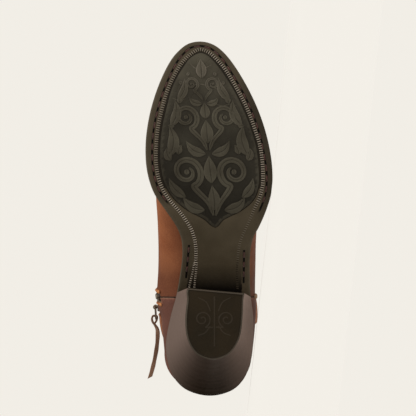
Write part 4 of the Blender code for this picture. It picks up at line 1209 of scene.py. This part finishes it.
def make_heel():
    """A tapered block of thin layers that lie parallel to the seat."""
    seat = heel_loop(SOLE, SEAT_BREAST, lambda u: underside(u) - GAP)
    foot = heel_loop(LIFT, LIFT_BREAST, lambda u: np.full(len(u), TOP_LIFT_THICK + GAP))
    centre = (seat[:, :2].mean(axis=0) + foot[:, :2].mean(axis=0)) / 2
    layer_tones = np.random.default_rng(4).uniform(-LAYER_TONE, LAYER_TONE, HEEL_LAYERS)
    # Painted light: a painted highlight on the sides, fuller on the outer side, and painted shade at the rear that
    # deepens towards the seat
    bearing = np.degrees(np.abs(np.arctan2(seat[:, 1] - centre[1], centre[0] - seat[:, 0])))
    sides = capped((bearing - REAR_DARK) / (SIDE_PALE - REAR_DARK))
    sides = sides * sides * (3 - 2 * sides) * np.where(seat[:, 1] > centre[1], OUTER_PALE, INNER_PALE)
    rings = []
    for layer in range(HEEL_LAYERS):
        for part, drawn_in in LAYER_SHAPE:
            level = (layer + part) / HEEL_LAYERS
            loop = seat + (foot - seat) * (level + HEEL_HOLLOW * math.sin(math.pi * level))
            loop[:, 2] = seat[:, 2] + (foot[:, 2] - seat[:, 2]) * level
            loop[:, :2] += unit(centre - loop[:, :2]) * drawn_in * LAYER_GROOVE
            rear = REAR_TONES[0] + (REAR_TONES[1] - REAR_TONES[0]) * level
            tone = sides + (1.0 - sides) * rear + layer_tones[layer] - LAYER_TONE * (drawn_in == 1.0)
            rings.append((loop, tone))
    stack = plate(rings, 4, field=BREAST_TONE)
    add_piece("heel_stack", stack, HEEL, "stacked_heel", "heel_block", angle=35.0)


def lift_ridge(path, hand, size):
    """A low ridge on the field of the top lift, drawn as (u, distance from the middle)."""
    line = evenly([(u, LIFT_MIDDLE + hand * side) for u, side in path], 0.7)
    places = np.column_stack([line, np.full(len(line), LIFT_FIELD)])
    shape = ridge_shape(*size, LIFT_FOOT, LIFT_TONES)
    return sweep(places, np.tile([0.0, 0.0, -1.0], (len(line), 1)), shape)


def make_top_lift():
    """A rubber cap with a pale rim, a painted highlight, round a slightly sunk field with a scroll and leaves."""
    rings = []
    for inset, height, tone in LIFT_RINGS:
        front = [u - inset for u in LIFT_BREAST]
        rings.append((heel_loop(LIFT.inset(inset), front, lambda u: np.full(len(u), height)), tone))
    add_piece("top_lift_cap", plate(rings, 30), LIFT_RUBBER, "rubber", "top_lift", angle=35.0)
    coil = [LIFT_COIL.root, *coil_points(LIFT_COIL, LIFT_COIL.eye, 60)]
    ridges = [lift_ridge(LIFT_STEM, 1.0, LIFT_STEM_SIZE)]
    for hand in BOTH_HANDS:
        ridges.append(lift_ridge(coil, hand, LIFT_STEM_SIZE))
        ridges += [lift_ridge(rounded(path, 8), hand, LIFT_LEAF_SIZE) for path in LIFT_LEAVES]
    add_piece("top_lift_scrolls", joined(ridges), LIFT_RUBBER, "rubber", angle=60.0)


def make_welt():
    """The welt strip between sole and upper, with rounded edges and a row of stitches on top."""
    inner = FEATHER.inset(WALL + GAP)
    loops = [ring(SOLE, inset, welt_foot, rise) for inset, rise in WELT_RINGS]
    loops = [ring(inner, 0.0, welt_foot, 0.0), *loops, ring(inner, 0.0, welt_foot, WELT_THICK)]
    points = np.vstack(loops)
    solid = (points, skin_faces(len(loops), len(loops[0]), closed=True), np.zeros(len(points)))
    add_piece("welt_strip", solid, DARK, "dark_leather", "welt")
    line = forefoot_line(SOLE.inset(lambda u: WELT_STITCH_SHARE * along(MARGIN, u)), WELT_STITCH_ENDS, 160)
    places = np.column_stack([line, welt_top(line[:, 0])])
    threads = stitches(places, -sole_normal(line[:, 0]), WELT_STITCH)
    add_piece("welt_stitches", threads, SEAM_THREAD, "tan_leather", angle=60.0)


def make_insole():
    """The sock lining on the insole board, lightly dished."""
    rings = [(ring(FEATHER, WALL + inset, welt_foot, rise, 120), 0.0) for inset, rise in INSOLE_RINGS]
    add_piece("sock_lining", plate(rings, 24), LINING, "sock_leather", "insole")


# Upper


def soft_larger(a, b):
    """The larger of two sizes, with the change from one to the other eased."""
    return (a + b + math.hypot(a - b, BULGE_BLEND)) / 2 - BULGE_BLEND / 2


def filled_sections():
    """The section table with the heights that follow the sole worked out."""
    rows = []
    for row in SECTIONS:
        back_w = upper_foot(row.back_u) if row.back_w is None else row.back_w
        rows.append(row._replace(back_w=back_w, top_w=back_w if row.top_w is None else row.top_w))
    return rows


def fullness(u, w):
    """The inner side's fullness: none at the sole, all at the ankle and less towards the collar."""
    start, end = FULLNESS_LEVELS
    towards_collar = capped((w - start) / (end - start))
    above_sole = capped((w - upper_foot(u)) / FULLNESS_FOOT)
    return float(along(MEDIAL_FULLNESS, u) * above_sole * (1 - (1 - FULLNESS_AT_COLLAR) * towards_collar))


def collar_share(row):
    """How much of the collar's side rise a section takes: all at the collar, none well below."""
    below = (COLLAR.top_w + COLLAR.back_w - row.top_w - row.back_w) / 2
    return max(0.0, 1 - below / COLLAR_RISE_DEPTH) ** 2


def section_points(row, rests):
    """One section from the medial bottom edge over the top to the lateral one. One that rests on the
    sole starts from the sole's feather edge."""
    back = np.array([row.back_u, row.back_w])
    top = np.array([row.top_u, row.top_w])
    sides = []
    for name, sign in (("medial", -1.0), ("lateral", 1.0)):
        half, edge = getattr(row, name), 0.0
        if rests:
            edge = abs(FEATHER.side(name, row.back_u) - row.middle)
            half = soft_larger(half, edge + LASTING_BULGE)
        first = math.asin(min(1.0, edge / half))
        points = []
        for angle in np.linspace(first, math.pi, SIDE_STEPS + 1):
            turn = math.cos(angle)
            if angle <= math.pi / 2:
                up = row.widest * (1 - turn / math.cos(first))
                out = half * math.sin(angle)
            else:
                up = row.widest - (1 - row.widest) * turn
                out = half * max(0.0, math.sin(angle)) ** row.crown
            u, w = back + (top - back) * up
            if name == "medial":
                out *= 1 + fullness(u, w) / half
            rise = COLLAR_RISE * math.sin(angle) ** 2 * collar_share(row)
            points.append((u, row.middle + sign * out, w + rise))
        sides.append(points)
    return sides[0] + sides[1][::-1][1:]


def last_grid():
    """Lines of points round the upper's outer skin, from the toe end to the collar."""
    rows = filled_sections()
    heel_row = next(i for i, row in enumerate(SECTIONS) if row.back_w is not None) - 1
    steps = np.linspace(0, len(rows) - 1, SECTION_STEPS * (len(rows) - 1) + 1)
    columns = [smooth(np.arange(len(rows)), column, steps) for column in zip(*rows)]
    grid = []
    for i, step in enumerate(steps):
        row = COLLAR._make(float(column[i]) for column in columns)
        if step <= heel_row:
            row = row._replace(back_w=float(upper_foot(row.back_u)))
        if i == 0:
            grid.append([(row.back_u, row.middle, row.back_w)] * (2 * SIDE_STEPS + 1))
        else:
            grid.append(section_points(row, step < heel_row))
    return eased(np.array(grid), heel_row * SECTION_STEPS)


def eased(grid, row):
    """The lines of a grid near one row drawn towards the lines beside them, without their ends."""
    for _ in range(EASE_ROUNDS):
        for i in range(row - EASE_ROWS, row + EASE_ROWS + 1):
            middle = (grid[i - 1, 2:-2] + grid[i + 1, 2:-2]) / 2
            grid[i, 2:-2] += (middle - grid[i, 2:-2]) / 2
    return grid


def wrinkle(u, v, w):
    """How far the leather sinks in its creases and swells beside them."""
    depth = 0.0
    for row in UPPER_CREASES:
        start, ahead = np.array(row.ridge), np.subtract(row.side, row.ridge)
        share = capped(np.dot((u, w) - start, ahead) / np.dot(ahead, ahead))
        apart = np.linalg.norm((u, w) - start - ahead * share) / row.half
        fade = (1.0 - share) ** 0.7 * (1.0 if v < 0 else row.outer)
        depth += row.depth * fade * (math.exp(-(apart**2)) - 0.4 * math.exp(-((apart - 2.0) ** 2)))
    return depth


def last_sheet(grid):
    """The outer skin of the upper as an open mesh from the bottom edge to the collar."""
    bm = bmesh.new()
    verts = [[bm.verts.new(p) for p in line] for line in grid]
    for low, high in zip(verts, verts[1:]):
        for i in range(len(low) - 1):
            bm.faces.new((low[i], low[i + 1], high[i + 1], high[i]))
    bmesh.ops.remove_doubles(bm, verts=bm.verts, dist=0.01)
    bmesh.ops.dissolve_degenerate(bm, edges=bm.edges, dist=0.01)
    bmesh.ops.triangulate(bm, faces=bm.faces)
    bmesh.ops.recalc_face_normals(bm, faces=bm.faces)
    bm.normal_update()
    highest = max(bm.faces, key=lambda f: f.calc_center_median().z)
    spot = highest.calc_center_median()
    if highest.normal.dot(spot - Vector((*LEG_MIDDLE, spot.z))) < 0:
        bmesh.ops.reverse_faces(bm, faces=bm.faces)
    bm.normal_update()
    sunk = [v.co - v.normal * wrinkle(*v.co) for v in bm.verts]
    for vert, place in zip(bm.verts, sunk):
        vert.co = place
    bm.normal_update()
    return bm


def zip_line():
    """The zip's side-view line in short steps, carried on past the collar."""
    line = rounded(ZIP_ROUTE, 10)
    ahead = (line[-1] - line[-2]) / np.linalg.norm(line[-1] - line[-2])
    return evenly(np.vstack([line, line[-1] + ahead * 3 * ZIP_OVERRUN]), 0.5)


GRID = last_grid()
SHEET = last_sheet(GRID)
SKIN = BVHTree.FromBMesh(SHEET)
ZIP_LINE = zip_line()
COUNTER_EDGE = rounded(COUNTER_TOP_EDGE, 10)[::-1]


def slit_clear(u, v, w):
    """Distance outside the slit for the zip, below 0 within it."""
    if v > 0:
        return BEYOND_SIDE
    apart = np.hypot(ZIP_LINE[:, 0] - u, ZIP_LINE[:, 1] - w).min()
    return max(apart - ZIP_SLIT / 2, ZIP_LINE[0, 1] - w)


def counter_top(u):
    return float(np.interp(u, COUNTER_EDGE[:, 0], COUNTER_EDGE[:, 1]))


def counter_margin(u, v, w):
    """Distance inside the counter's front and top edges and off the zip, below 0 beyond them."""
    head_u, head_w = COUNTER_TOP_EDGE[0]
    front = np.interp(w, (float(upper_foot(COUNTER_FRONT_FOOT)), head_w), (COUNTER_FRONT_FOOT, head_u))
    return min(counter_top(u) - w, front - u, slit_clear(u, v, w))


def counter_cover(u, v, w):
    """Distance inside the counter's whole edge, below 0 beyond it."""
    return min(counter_margin(u, v, w), w - float(upper_foot(max(u, 0.0))) - COUNTER_FOOT)


def trimmed(inside):
    """The upper's skin where inside(u, v, w) is above 0: its places, normals and faces."""
    SHEET.verts.index_update()
    places = [np.array(v.co) for v in SHEET.verts]
    normals = [np.array(v.normal) for v in SHEET.verts]
    shares = [inside(*v.co) for v in SHEET.verts]
    cuts = {}
    faces = []
    for face in SHEET.faces:
        corners = [v.index for v in face.verts]
        kept = []
        for a, b in zip(corners, corners[1:] + corners[:1]):
            if shares[a] > 0:
                kept.append(a)
            if (shares[a] > 0) != (shares[b] > 0):
                near, far = min(a, b), max(a, b)
                if (near, far) not in cuts:
                    t = shares[near] / (shares[near] - shares[far])
                    cuts[near, far] = len(places)
                    places.append(places[near] + (places[far] - places[near]) * t)
                    normals.append(normals[near] + (normals[far] - normals[near]) * t)
                kept.append(cuts[near, far])
        if len(kept) > 2:
            faces.append(kept)
    return np.array(places), np.array(normals), faces


def wall(inside, inner, outer, shade, edge_tone=1.0):
    """A wall from inner to outer(u, v, w) off the skin; shade(u, v, w) and edge_tone are its tones."""
    places, normals, faces = trimmed(inside)
    count = len(places)
    outer = np.array([outer(*place) for place in places])[:, None]
    sides = {(a, b) for face in faces for a, b in zip(face, face[1:] + face[:1])}
    rim = [(a, b) for a, b in sides if (b, a) not in sides]
    edge = sorted({i for pair in rim for i in pair})
    order = {i: 2 * count + k for k, i in enumerate(edge)}
    front, back = places + normals * outer, places + normals * inner
    points = np.vstack([front, back, front[edge], back[edge]])
    faces = faces + [[i + count for i in reversed(face)] for face in faces]
    faces += [(order[b], order[a], order[a] + len(edge), order[b] + len(edge)) for a, b in rim]
    tones = [shade(*place) for place in places] + [0.0] * count + [edge_tone] * (2 * len(edge))
    return points, faces, tones


def seam_shade(u, v, w):
    """Painted shade: the leather is darker towards the counter's front seam, along the counter's edge, and near
    the sole.
    """
    seam = capped((SEAM_DARK.u - u) / SEAM_DARK.along) * capped((SEAM_DARK.w - w) / SEAM_DARK.across)
    foot = capped(1.0 - (w - float(upper_foot(u))) / FOOT_DARK_REACH)
    line = capped(1.0 + counter_cover(u, v, w) / SEAM_LINE)
    return -max(SEAM_DARK.tone * seam, FOOT_DARK * foot, line)


def none(u, v, w):
    return 0.0


def counter_rise(u, v, w):
    """The counter's thickness, skived thin at its edges."""
    return COUNTER_THIN + (COUNTER_STEP - COUNTER_THIN) * capped(counter_cover(u, v, w) / COUNTER_SKIVE)


def counter_shade(u, v, w):
    """Painted shade darkens it from the top edge down to the heel, with a painted highlight on the skived rim."""
    rim = capped(1.0 - counter_margin(u, v, w) / COUNTER_RIM)
    low = capped((counter_top(u) - w - LOW_DARK[0]) / LOW_DARK[1])
    return RIM_TONE * rim - LOW_TONE * low * (1.0 - rim)


def make_upper():
    """Outer leather and lining, slit for the zip, with the counter lapped over the heel."""
    look = {"angle": 35.0, "merge": False}
    skin = wall(slit_clear, -LEATHER, none, seam_shade)
    add_piece("upper_leather", skin, TAN, "tan_leather", "upper", **look)
    lining = wall(slit_clear, -WALL, lambda u, v, w: -LEATHER - LINING_GAP, none)
    add_piece("upper_lining", lining, LINING, "sock_leather", **look)
    counter = wall(counter_cover, COUNTER_BACK, counter_rise, counter_shade, -1.0)
    add_piece("counter_leather", counter, COUNTER_TAN, "tan_leather", **look)


def surface_point(u, w, sign):
    """The upper's skin at a side-view place, with its outward normal; sign -1 is the medial side."""
    start = Vector((u, sign * BEYOND_SIDE, w))
    place, normal, _, _ = SKIN.ray_cast(start, Vector((0.0, -sign, 0.0)))
    return np.array(place), np.array(-normal if normal.y * sign < 0 else normal)


def surface_line(line, sign, lift=0.0):
    """Places and normals on one side of the upper along a side-view line."""
    places, normals = (np.array(rows) for rows in zip(*(surface_point(u, w, sign) for u, w in line)))
    return places + normals * lift, normals


def along_zip(start, end=None, step=1.0, aside=0.0):
    """Places and normals from start to end above the zip's foot, or to past the collar, shifted aside."""
    ahead = headings(ZIP_LINE)
    run = run_of(ZIP_LINE)
    end = run[-1] - 2 * ZIP_OVERRUN - 1.0 if end is None else end
    marks = np.linspace(start, end, round((end - start) / step) + 1)
    line = ZIP_LINE + np.column_stack([ahead[:, 1], -ahead[:, 0]]) * aside
    return surface_line(at_marks(marks, run, line), -1.0)


def around_leg(height, first, last, steps=160):
    """Places and normals round the leg from one bearing to another, at height(u)."""
    places, normals = [], []
    middle = Vector((*LEG_MIDDLE, 0.0))
    for bearing in np.linspace(first, last, steps):
        inward = Vector((*-towards(bearing), 0.0))
        level = height(LEG_MIDDLE[0])
        for _ in range(4):
            start = middle - inward * BEYOND_SIDE + Vector((0.0, 0.0, level))
            place, normal, _, _ = SKIN.ray_cast(start, inward)
            level = height(place.x)
        places.append(place)
        normals.append(-normal if normal.dot(inward) > 0 else normal)
    return np.array(places), np.array(normals)


def make_counter_trim():
    """A quiet row of stitches along the counter's top, and a dark strip on the upper beside its front and top
    edges, a painted shadow line.
    """
    lift = COUNTER_THIN + (COUNTER_STEP - COUNTER_THIN) * COUNTER_ROW / COUNTER_SKIVE
    places, normals = around_leg(lambda u: counter_top(u) - COUNTER_ROW, *COUNTER_BEARINGS)
    threads = stitches(places + normals * lift, normals, COUNTER_STITCH)
    add_piece("counter_stitches", threads, COUNTER_THREAD, "tan_leather", angle=60.0)
    # A dark strip on the upper just outside the counter's front and top edges: a painted shadow line
    half = SHADOW_LINE_WIDTH / 2
    shape = strip_shape(half, *SHADOW_LINE_SHAPE)
    low = np.array([COUNTER_FRONT_FOOT + half, upper_foot(COUNTER_FRONT_FOOT) + SHADOW_LINE_FOOT])
    high = np.array(COUNTER_TOP_EDGE[0]) + (half, 0.0)
    under_zip = low + (high - low) * (ZIP_ROUTE[0][1] - low[1]) / (high[1] - low[1])
    lines = [surface_line(evenly([low, high], 1.0), 1.0), surface_line(evenly([low, under_zip], 1.0), -1.0)]
    lines.append(around_leg(lambda u: counter_top(u) + half, *COUNTER_BEARINGS))
    points, faces, tones = joined([sweep(*line, shape) for line in lines])
    add_piece("counter_shadow_line", (points, faces, [-1.0] * len(tones)), DARK, "dark_leather")


def bar_tack(places, normals):
    """Close threads across a strip at its foot, one at each place."""
    ahead = places[1] - places[0]
    threads = []
    for place, normal in zip(places, normals):
        across = np.cross(ahead, normal)
        across *= TACK_STITCH[0] / 2 / np.linalg.norm(across)
        threads.append(stitches([place - across, place + across], [normal, normal], TACK_STITCH))
    return threads


def make_zip_edging():
    """A raised strip on each side of the zip with a bright row of stitches and a tack at its foot."""
    shape = strip_shape(ZIP_EDGE - ZIP_EDGE_PLAY, *ZIP_EDGE_SHAPE)
    threads, strips = [], []
    for hand in BOTH_HANDS:
        places, normals = along_zip(0.0, aside=hand * (ZIP_SLIT / 2 + ZIP_EDGE))
        strips.append(sweep(places, normals, shape))
        raised = places + normals * ZIP_EDGE_RISE
        threads.append(stitches(raised[TACK_ROWS:], normals[TACK_ROWS:], ZIP_STITCH))
        threads += bar_tack(raised[:TACK_ROWS], normals)
    add_piece("zip_stitches", joined(threads), SEAM_THREAD, "tan_leather", angle=60.0)
    add_piece("zip_edging", joined(strips), TAN, "tan_leather")


def make_collar_edge():
    """A rolled binding over the collar, open where the zip ends."""
    normals = np.array([SKIN.find_nearest(Vector(p))[1] for p in GRID[-1]])
    middle = GRID[-1] - normals * WALL / 2
    zip_u, zip_w = ZIP_LINE[-1]
    apart = np.hypot(middle[:, 0] - zip_u, middle[:, 2] - zip_w) + BEYOND_SIDE * (middle[:, 1] > 0)
    run = evenly(np.roll(middle, -int(np.argmin(apart)), axis=0), 0.8)
    run = run[np.linalg.norm(run - run[0], axis=1) > ZIP_SLIT / 2 + GAP]
    binding = sweep(run, np.tile([0.0, 0.0, 1.0], (len(run), 1)), circle(*BINDING_SIZE, 12))
    add_piece("collar_binding", binding, DARK, "tan_leather", angle=60.0)


# Zip, thong, strap and piping


def tooth(place, across, ahead, out):
    """One tooth: a clamp on the tape's edge that narrows to a rounded head at the middle."""
    place = place + out * TOOTH_RISE
    points = []
    for x, half, top in TOOTH_PROFILE:
        shape = two_sided(((half * 0.6, top), (half, top - TOOTH_SHOULDER), (half, TOOTH_FOOT)))
        points += [tuple(place + across * x + ahead * y + out * level) for y, level in shape]
    return points, capped_skin(len(TOOTH_PROFILE), 6), [0.0] * len(points)


def zip_teeth(start, end=None):
    """Teeth from both sides by turns, and a stop at the zip's foot."""
    places, normals = along_zip(start, end, TOOTH_PITCH / 2)
    ahead = headings(places)
    across = unit(np.cross(ahead, normals))
    teeth = []
    for i in range(len(places)):
        teeth.append(tooth(places[i], across[i] * BOTH_HANDS[i % 2], ahead[i], normals[i]))
    if start == TOOTH_START:
        place = places[0] - ahead[0] * STOP_BELOW
        for hand in BOTH_HANDS:
            teeth.append(tooth(place, across[0] * hand, ahead[0] * STOP_LONGER, normals[0] * STOP_HIGHER))
    return joined(teeth)


def make_zip():
    """A cloth tape at the bottom of the slit with two rows of meshing teeth, and its foot in the seam."""
    half = ZIP_SLIT / 2 - GAP
    shape = [(-half, TAPE_BACK), (half, TAPE_BACK), (half, TAPE_FACE), *TAPE_BEAD, (-half, TAPE_FACE)]
    tape, foot = sweep(*along_zip(SEAM_ZIP), shape), sweep(*along_zip(GAP, SEAM_ZIP), shape)
    add_piece("zip_tape_weave", tape, TAPE, "zip_cloth", "zip_tape", angle=50.0)
    add_piece("zip_foot_weave", foot, TAPE, "zip_cloth", angle=50.0)
    add_piece("zip_teeth", zip_teeth(SEAM_ZIP), METAL, "aged_metal", "zip_chain", angle=30.0)
    foot_teeth = zip_teeth(TOOTH_START, SEAM_ZIP - TOOTH_PITCH / 2)
    add_piece("zip_foot_teeth", foot_teeth, METAL, "aged_metal", angle=30.0)


def hinge_frame():
    """Axes at the pull's hinge in boot millimetres: heelward along the tab, down the zip, and out."""
    joint = next(j for j in frame["joints"] if j["name"] == "pull_hinge")
    to_boot = SHOE.inverted()
    place = to_boot @ Vector(joint["pos_m"])
    down = -(to_boot.to_3x3() @ Vector(joint["axis"])).normalized()
    low, high = (Vector(corner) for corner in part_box("zip_pull"))
    away = to_boot @ ((low + high) / 2) - place
    heelward = (away - down * away.dot(down)).normalized()
    return place, heelward, down, heelward.cross(down)


def soft_shape(half, deep, flat, *top):
    """The profile of a strip with soft edges, whose flat is a share of its half width."""
    right = [(half * flat, -deep), (half, -deep * 0.5), (half, deep * 0.5), (half * flat, deep)]
    left = [(-x, y) for x, y in reversed(right)]
    return left[2:] + right + list(top) + left[:2]


def flat_strip(path, down):
    """The thong's strip along a path. Its width starts along down and soon turns to lie level; its far
    end is cut on the slant."""
    half, deep = THONG_WIDTH / 2, THONG_THICK / 2
    ahead = headings(path)
    flat = unit(np.cross(ahead, np.tile(down, (len(path), 1))))
    turn = capped(run_of(path) / THONG_TURN_LENGTH)
    turn = (turn * turn * (3 - 2 * turn) * math.pi / 2)[:, None]

    def profile(i):
        wide = half * (1.0 - THONG_WAVER * math.sin(i * 0.7))
        return soft_shape(wide, deep, THONG_FLAT, (0.0, deep * THONG_CROWN))

    points, faces, tones = sweep(path, flat * np.cos(turn) + down * np.sin(turn), profile)
    for k in range(len(points) - len(profile(0)), len(points)):
        point = np.array(points[k])
        points[k] = tuple(point + ahead[-1] * THONG_SLANT * np.dot(point - path[-1], flat[-1]) / half)
    return points, faces, tones


def make_thong():
    """A bow through the slot of the tab, and the flat strip that hangs on from it."""
    place, heelward, down, out = hinge_frame()
    end_x = PULL_LENGTH + GAP + THONG_THICK / 2
    reach = PULL_THICK / 2 + GAP + THONG_THICK / 2
    knot = (end_x + KNOT_BEYOND, 0.2 * reach)
    spots = [Vector((u, v, place.z)) - place for u, v in THONG_ROUTE]

    def in_hinge(x, z):
        return np.array(place + heelward * x + out * z)

    route = [in_hinge(*knot)] + [in_hinge(spot.dot(heelward), spot.dot(out)) for spot in spots]
    line = evenly(rounded(route, 8), 1.5)
    strip = flat_strip(line, np.array(down))
    strip_piece = add_piece(
        "thong_strip", strip, THONG_BROWN, "dark_leather", "zip_tassel", angle=50.0, body="zip_pull"
    )
    turn_x, far_x = PULL_SLOT_MIDDLE + BOW_LEAN, end_x - 2 * BOW_LEAN
    bow = [(PULL_SLOT_MIDDLE, 0.0), (turn_x, reach), (far_x, reach + 2 * BOW_LEAN), knot, (far_x, -reach)]
    loop = np.array([in_hinge(x, z) for x, z in rounded(bow + [(turn_x, -reach)], 8, closed=True)])
    normals = np.cross(headings(loop, closed=True), np.tile(np.array(down), (len(loop), 1)))
    shape = soft_shape(PULL_SLOT_WIDTH / 2 - GAP, THONG_THICK / 2, BOW_FLAT)
    bow = sweep(loop, normals, shape, closed=True)
    bow_piece = add_piece("thong_bow", bow, THONG_BROWN, "dark_leather", angle=50.0, body="zip_pull")


def slab(near, far):
    """A solid between two matching grids of points, with raw edges."""
    rows, columns = near.shape[:2]
    back = rows * columns
    points = [tuple(p) for p in np.concatenate([near, far]).reshape(-1, 3)]
    faces = []
    for i in range(rows - 1):
        for j in range(columns - 1):
            a, b = i * columns + j, (i + 1) * columns + j
            faces.append((a, a + 1, b + 1, b))
            faces.append((back + a, back + b, back + b + 1, back + a + 1))
    rim = [(0, j) for j in range(columns - 1)] + [(i, columns - 1) for i in range(rows - 1)]
    rim += [(rows - 1, j) for j in range(columns - 1, 0, -1)] + [(i, 0) for i in range(rows - 1, 0, -1)]
    base = len(points)
    points += [points[side + i * columns + j] for side in (0, back) for i, j in rim]
    for k in range(len(rim)):
        a, b = base + k, base + (k + 1) % len(rim)
        faces.append((b, a, a + len(rim), b + len(rim)))
    return points, faces, [0.0] * base + [1.0] * (2 * len(rim))


def strap_grids():
    """The strap's face on the leg and its outer face, line by line across its width."""
    edge = (COLLAR.top_w + COLLAR.back_w) / 2 + COLLAR_RISE - STRAP_EDGE_DROP
    loop_radius = WALL / 2 + STRAP_GAP
    up = np.array([0, 0, 1.0])
    depth, start = STRAP_ROUNDING
    near, far = [], []
    for share in np.linspace(-1.0, 1.0, 25):
        u = STRAP_AT + share * STRAP_WIDTH / 2
        thick = STRAP_THICK - depth * max(0.0, (abs(share) - start) / (1.0 - start)) ** 2
        faces = []
        for w in np.linspace(STRAP_FOOT, edge, 30):
            place, normal = surface_point(u, w, 1.0)
            faces.append((place + normal * STRAP_GAP, place + normal * (STRAP_GAP + thick)))
        centre = place - normal * WALL / 2
        for turn in np.linspace(0, math.pi, 18)[1:-1]:
            spoke = normal * math.cos(turn) + up * math.sin(turn)
            place = centre + up * STRAP_LOOP_RISE * math.sin(turn)
            faces.append((place + spoke * loop_radius, place + spoke * (loop_radius + thick)))
        for w in np.linspace(edge, STRAP_INSIDE_FOOT, 18):
            place, normal = surface_point(u, w, 1.0)
            inside = place - normal * (WALL + STRAP_GAP)
            faces.append((inside, inside - normal * thick))
        near.append([face[0] for face in faces])
        far.append([face[1] for face in faces])
    return np.array(near), np.array(far)


def make_pull_strap():
    """A doubled leather band over the collar, stitched along its edges and across its foot. The stitches
    are pressed into the leather where it rests on the floor."""
    near, far = strap_grids()
    add_piece(
        "pull_strap_leather", slab(near, far), STRAP_TAN, "tan_leather", "pull_strap", angle=50.0, merge=False
    )
    threads = []
    for part in (np.s_[2], np.s_[-3], np.s_[2:-2, 2]):
        out = unit(far[part] - near[part])
        heights = np.array([(SHOE @ Vector(place)).z for place in far[part]]) / MM
        line = far[part] - out * np.clip(STITCH_ROOM - heights, 0.0, STITCH_ROOM)[:, None]
        threads.append(stitches(line, out, STRAP_STITCH))
    add_piece("pull_strap_stitches", joined(threads), SEAM_THREAD, "tan_leather", angle=60.0)


def make_piping():
    """Two leather strands twisted together along the outer side seam."""
    places, normals = surface_line(evenly(rounded(PIPING_ROUTE, 10), 0.5), 1.0, PIPING_LIFT)
    across = np.cross(headings(places), normals)
    twist = 2 * math.pi * run_of(places) / PIPING_TURN
    swing_across, swing_out = STRAND_SWING
    first = int(np.argmax(places[:, 2] > SEAM_PIPING_TOP))
    upper_part, lower_part = slice(first, None), slice(0, first + 1)
    runs = (("twisted_piping", upper_part, ["side_piping"]), ("seam_piping", lower_part, []))
    for name, part, nodes in runs:
        strands = []
        for phase in (0.0, math.pi):
            swing = across * (swing_across * np.cos(twist + phase))[:, None]
            line = places + swing + normals * (swing_out * np.sin(twist + phase))[:, None]
            strands.append(sweep(line[part], normals[part], circle(*STRAND_SIZE, 10)))
        add_piece(name, joined(strands), PIPING_TAN, "tan_leather", *nodes, angle=60.0)


def finish_metal():
    """The slider and the pull tab keep their solid shapes and take the aged metal finish."""
    for name in ("zip_slider", "zip_pull"):
        node = frame["nodes"][name]
        node.data.materials.clear()
        node.data.materials.append(METAL)


# Room


def make_camera():
    """Straight onto the sole from far off, rolled so that the toe points up in the picture."""
    tilt, lean = math.radians(CAMERA_TILT), math.radians(CAMERA_LEAN)
    back = Vector((-math.sin(tilt) * math.cos(lean), -math.sin(lean), -math.cos(tilt) * math.cos(lean)))
    turn = SHOE.to_3x3().normalized()
    z = (turn @ back).normalized()
    x = (turn @ Vector((1.0, 0.0, 0.0))).cross(z).normalized()
    data = bpy.data.cameras.new("camera")
    data.lens = CAMERA_LENS
    data.clip_start = CAMERA_NEAR
    camera = bpy.data.objects.new("camera", data)
    camera.matrix_world = Matrix((x, z.cross(x), z)).transposed().to_4x4()
    camera.location = SHOE @ (Vector(CAMERA_AIM) + back * CAMERA_REACH)
    bpy.context.scene.collection.objects.link(camera)
    bpy.context.scene.camera = camera


def add_sun(name, direction, spread, power, colour):
    """A soft, distant light that shines from a direction."""
    data = bpy.data.lights.new(name, "SUN")
    data.angle = math.radians(spread)
    data.energy = power
    data.color = colour
    light = bpy.data.objects.new(name, data)
    light.rotation_euler = Vector(direction).to_track_quat("Z", "Y").to_euler()
    bpy.context.scene.collection.objects.link(light)


def make_room():
    """A pale light table under the boot, a cream surround and soft lights from above."""
    glow = {"Emission_Color": (*CREAM, 1.0), "Emission_Strength": FLOOR_GLOW}
    finish = Finish("floor_finish", Specular_IOR_Level=0.0, **glow)
    cloud = finish.ranged(finish.noise(3.0), 0.3, 0.7)
    mesh = bpy.data.meshes.new("floor")
    corners = [(x * FLOOR_HALF, y * FLOOR_HALF, 0) for x, y in ((-1, -1), (1, -1), (1, 1), (-1, 1))]
    mesh.from_pydata(corners, [], [(0, 1, 2, 3)])
    mesh.materials.append(finish.done(finish.mixed(cloud, FLOOR_DARK, FLOOR_LIGHT), 40.0, 0.8, 0.95))
    floor = bpy.data.objects.new("floor", mesh)
    bpy.context.scene.collection.objects.link(floor)
    world = bpy.data.worlds.new("surround")
    world.use_nodes = True
    nodes, links = world.node_tree.nodes, world.node_tree.links
    both = nodes.new("ShaderNodeMixShader")
    links.new(nodes.new("ShaderNodeLightPath").outputs["Is Camera Ray"], both.inputs["Fac"])
    for i, (node, strength) in enumerate(
        ((nodes["Background"], AMBIENT), (nodes.new("ShaderNodeBackground"), BACKDROP)), 1
    ):
        node.inputs["Color"].default_value = (*CREAM, 1.0)
        node.inputs["Strength"].default_value = strength
        links.new(node.outputs["Background"], both.inputs[i])
    links.new(both.outputs["Shader"], nodes["World Output"].inputs["Surface"])
    bpy.context.scene.world = world
    for row in LIGHTS:
        add_sun(*row)
    bpy.context.scene.view_settings.view_transform = "Standard"


make_camera()
make_room()
make_outsole()
make_waist_plates()
make_panel()
make_ribs()
make_scrolls()
make_sole_stitches()
make_heel()
make_top_lift()
make_welt()
make_insole()
make_upper()
make_counter_trim()
make_zip_edging()
make_collar_edge()
make_zip()
make_thong()
make_pull_strap()
make_piping()
finish_metal()
SHEET.free()
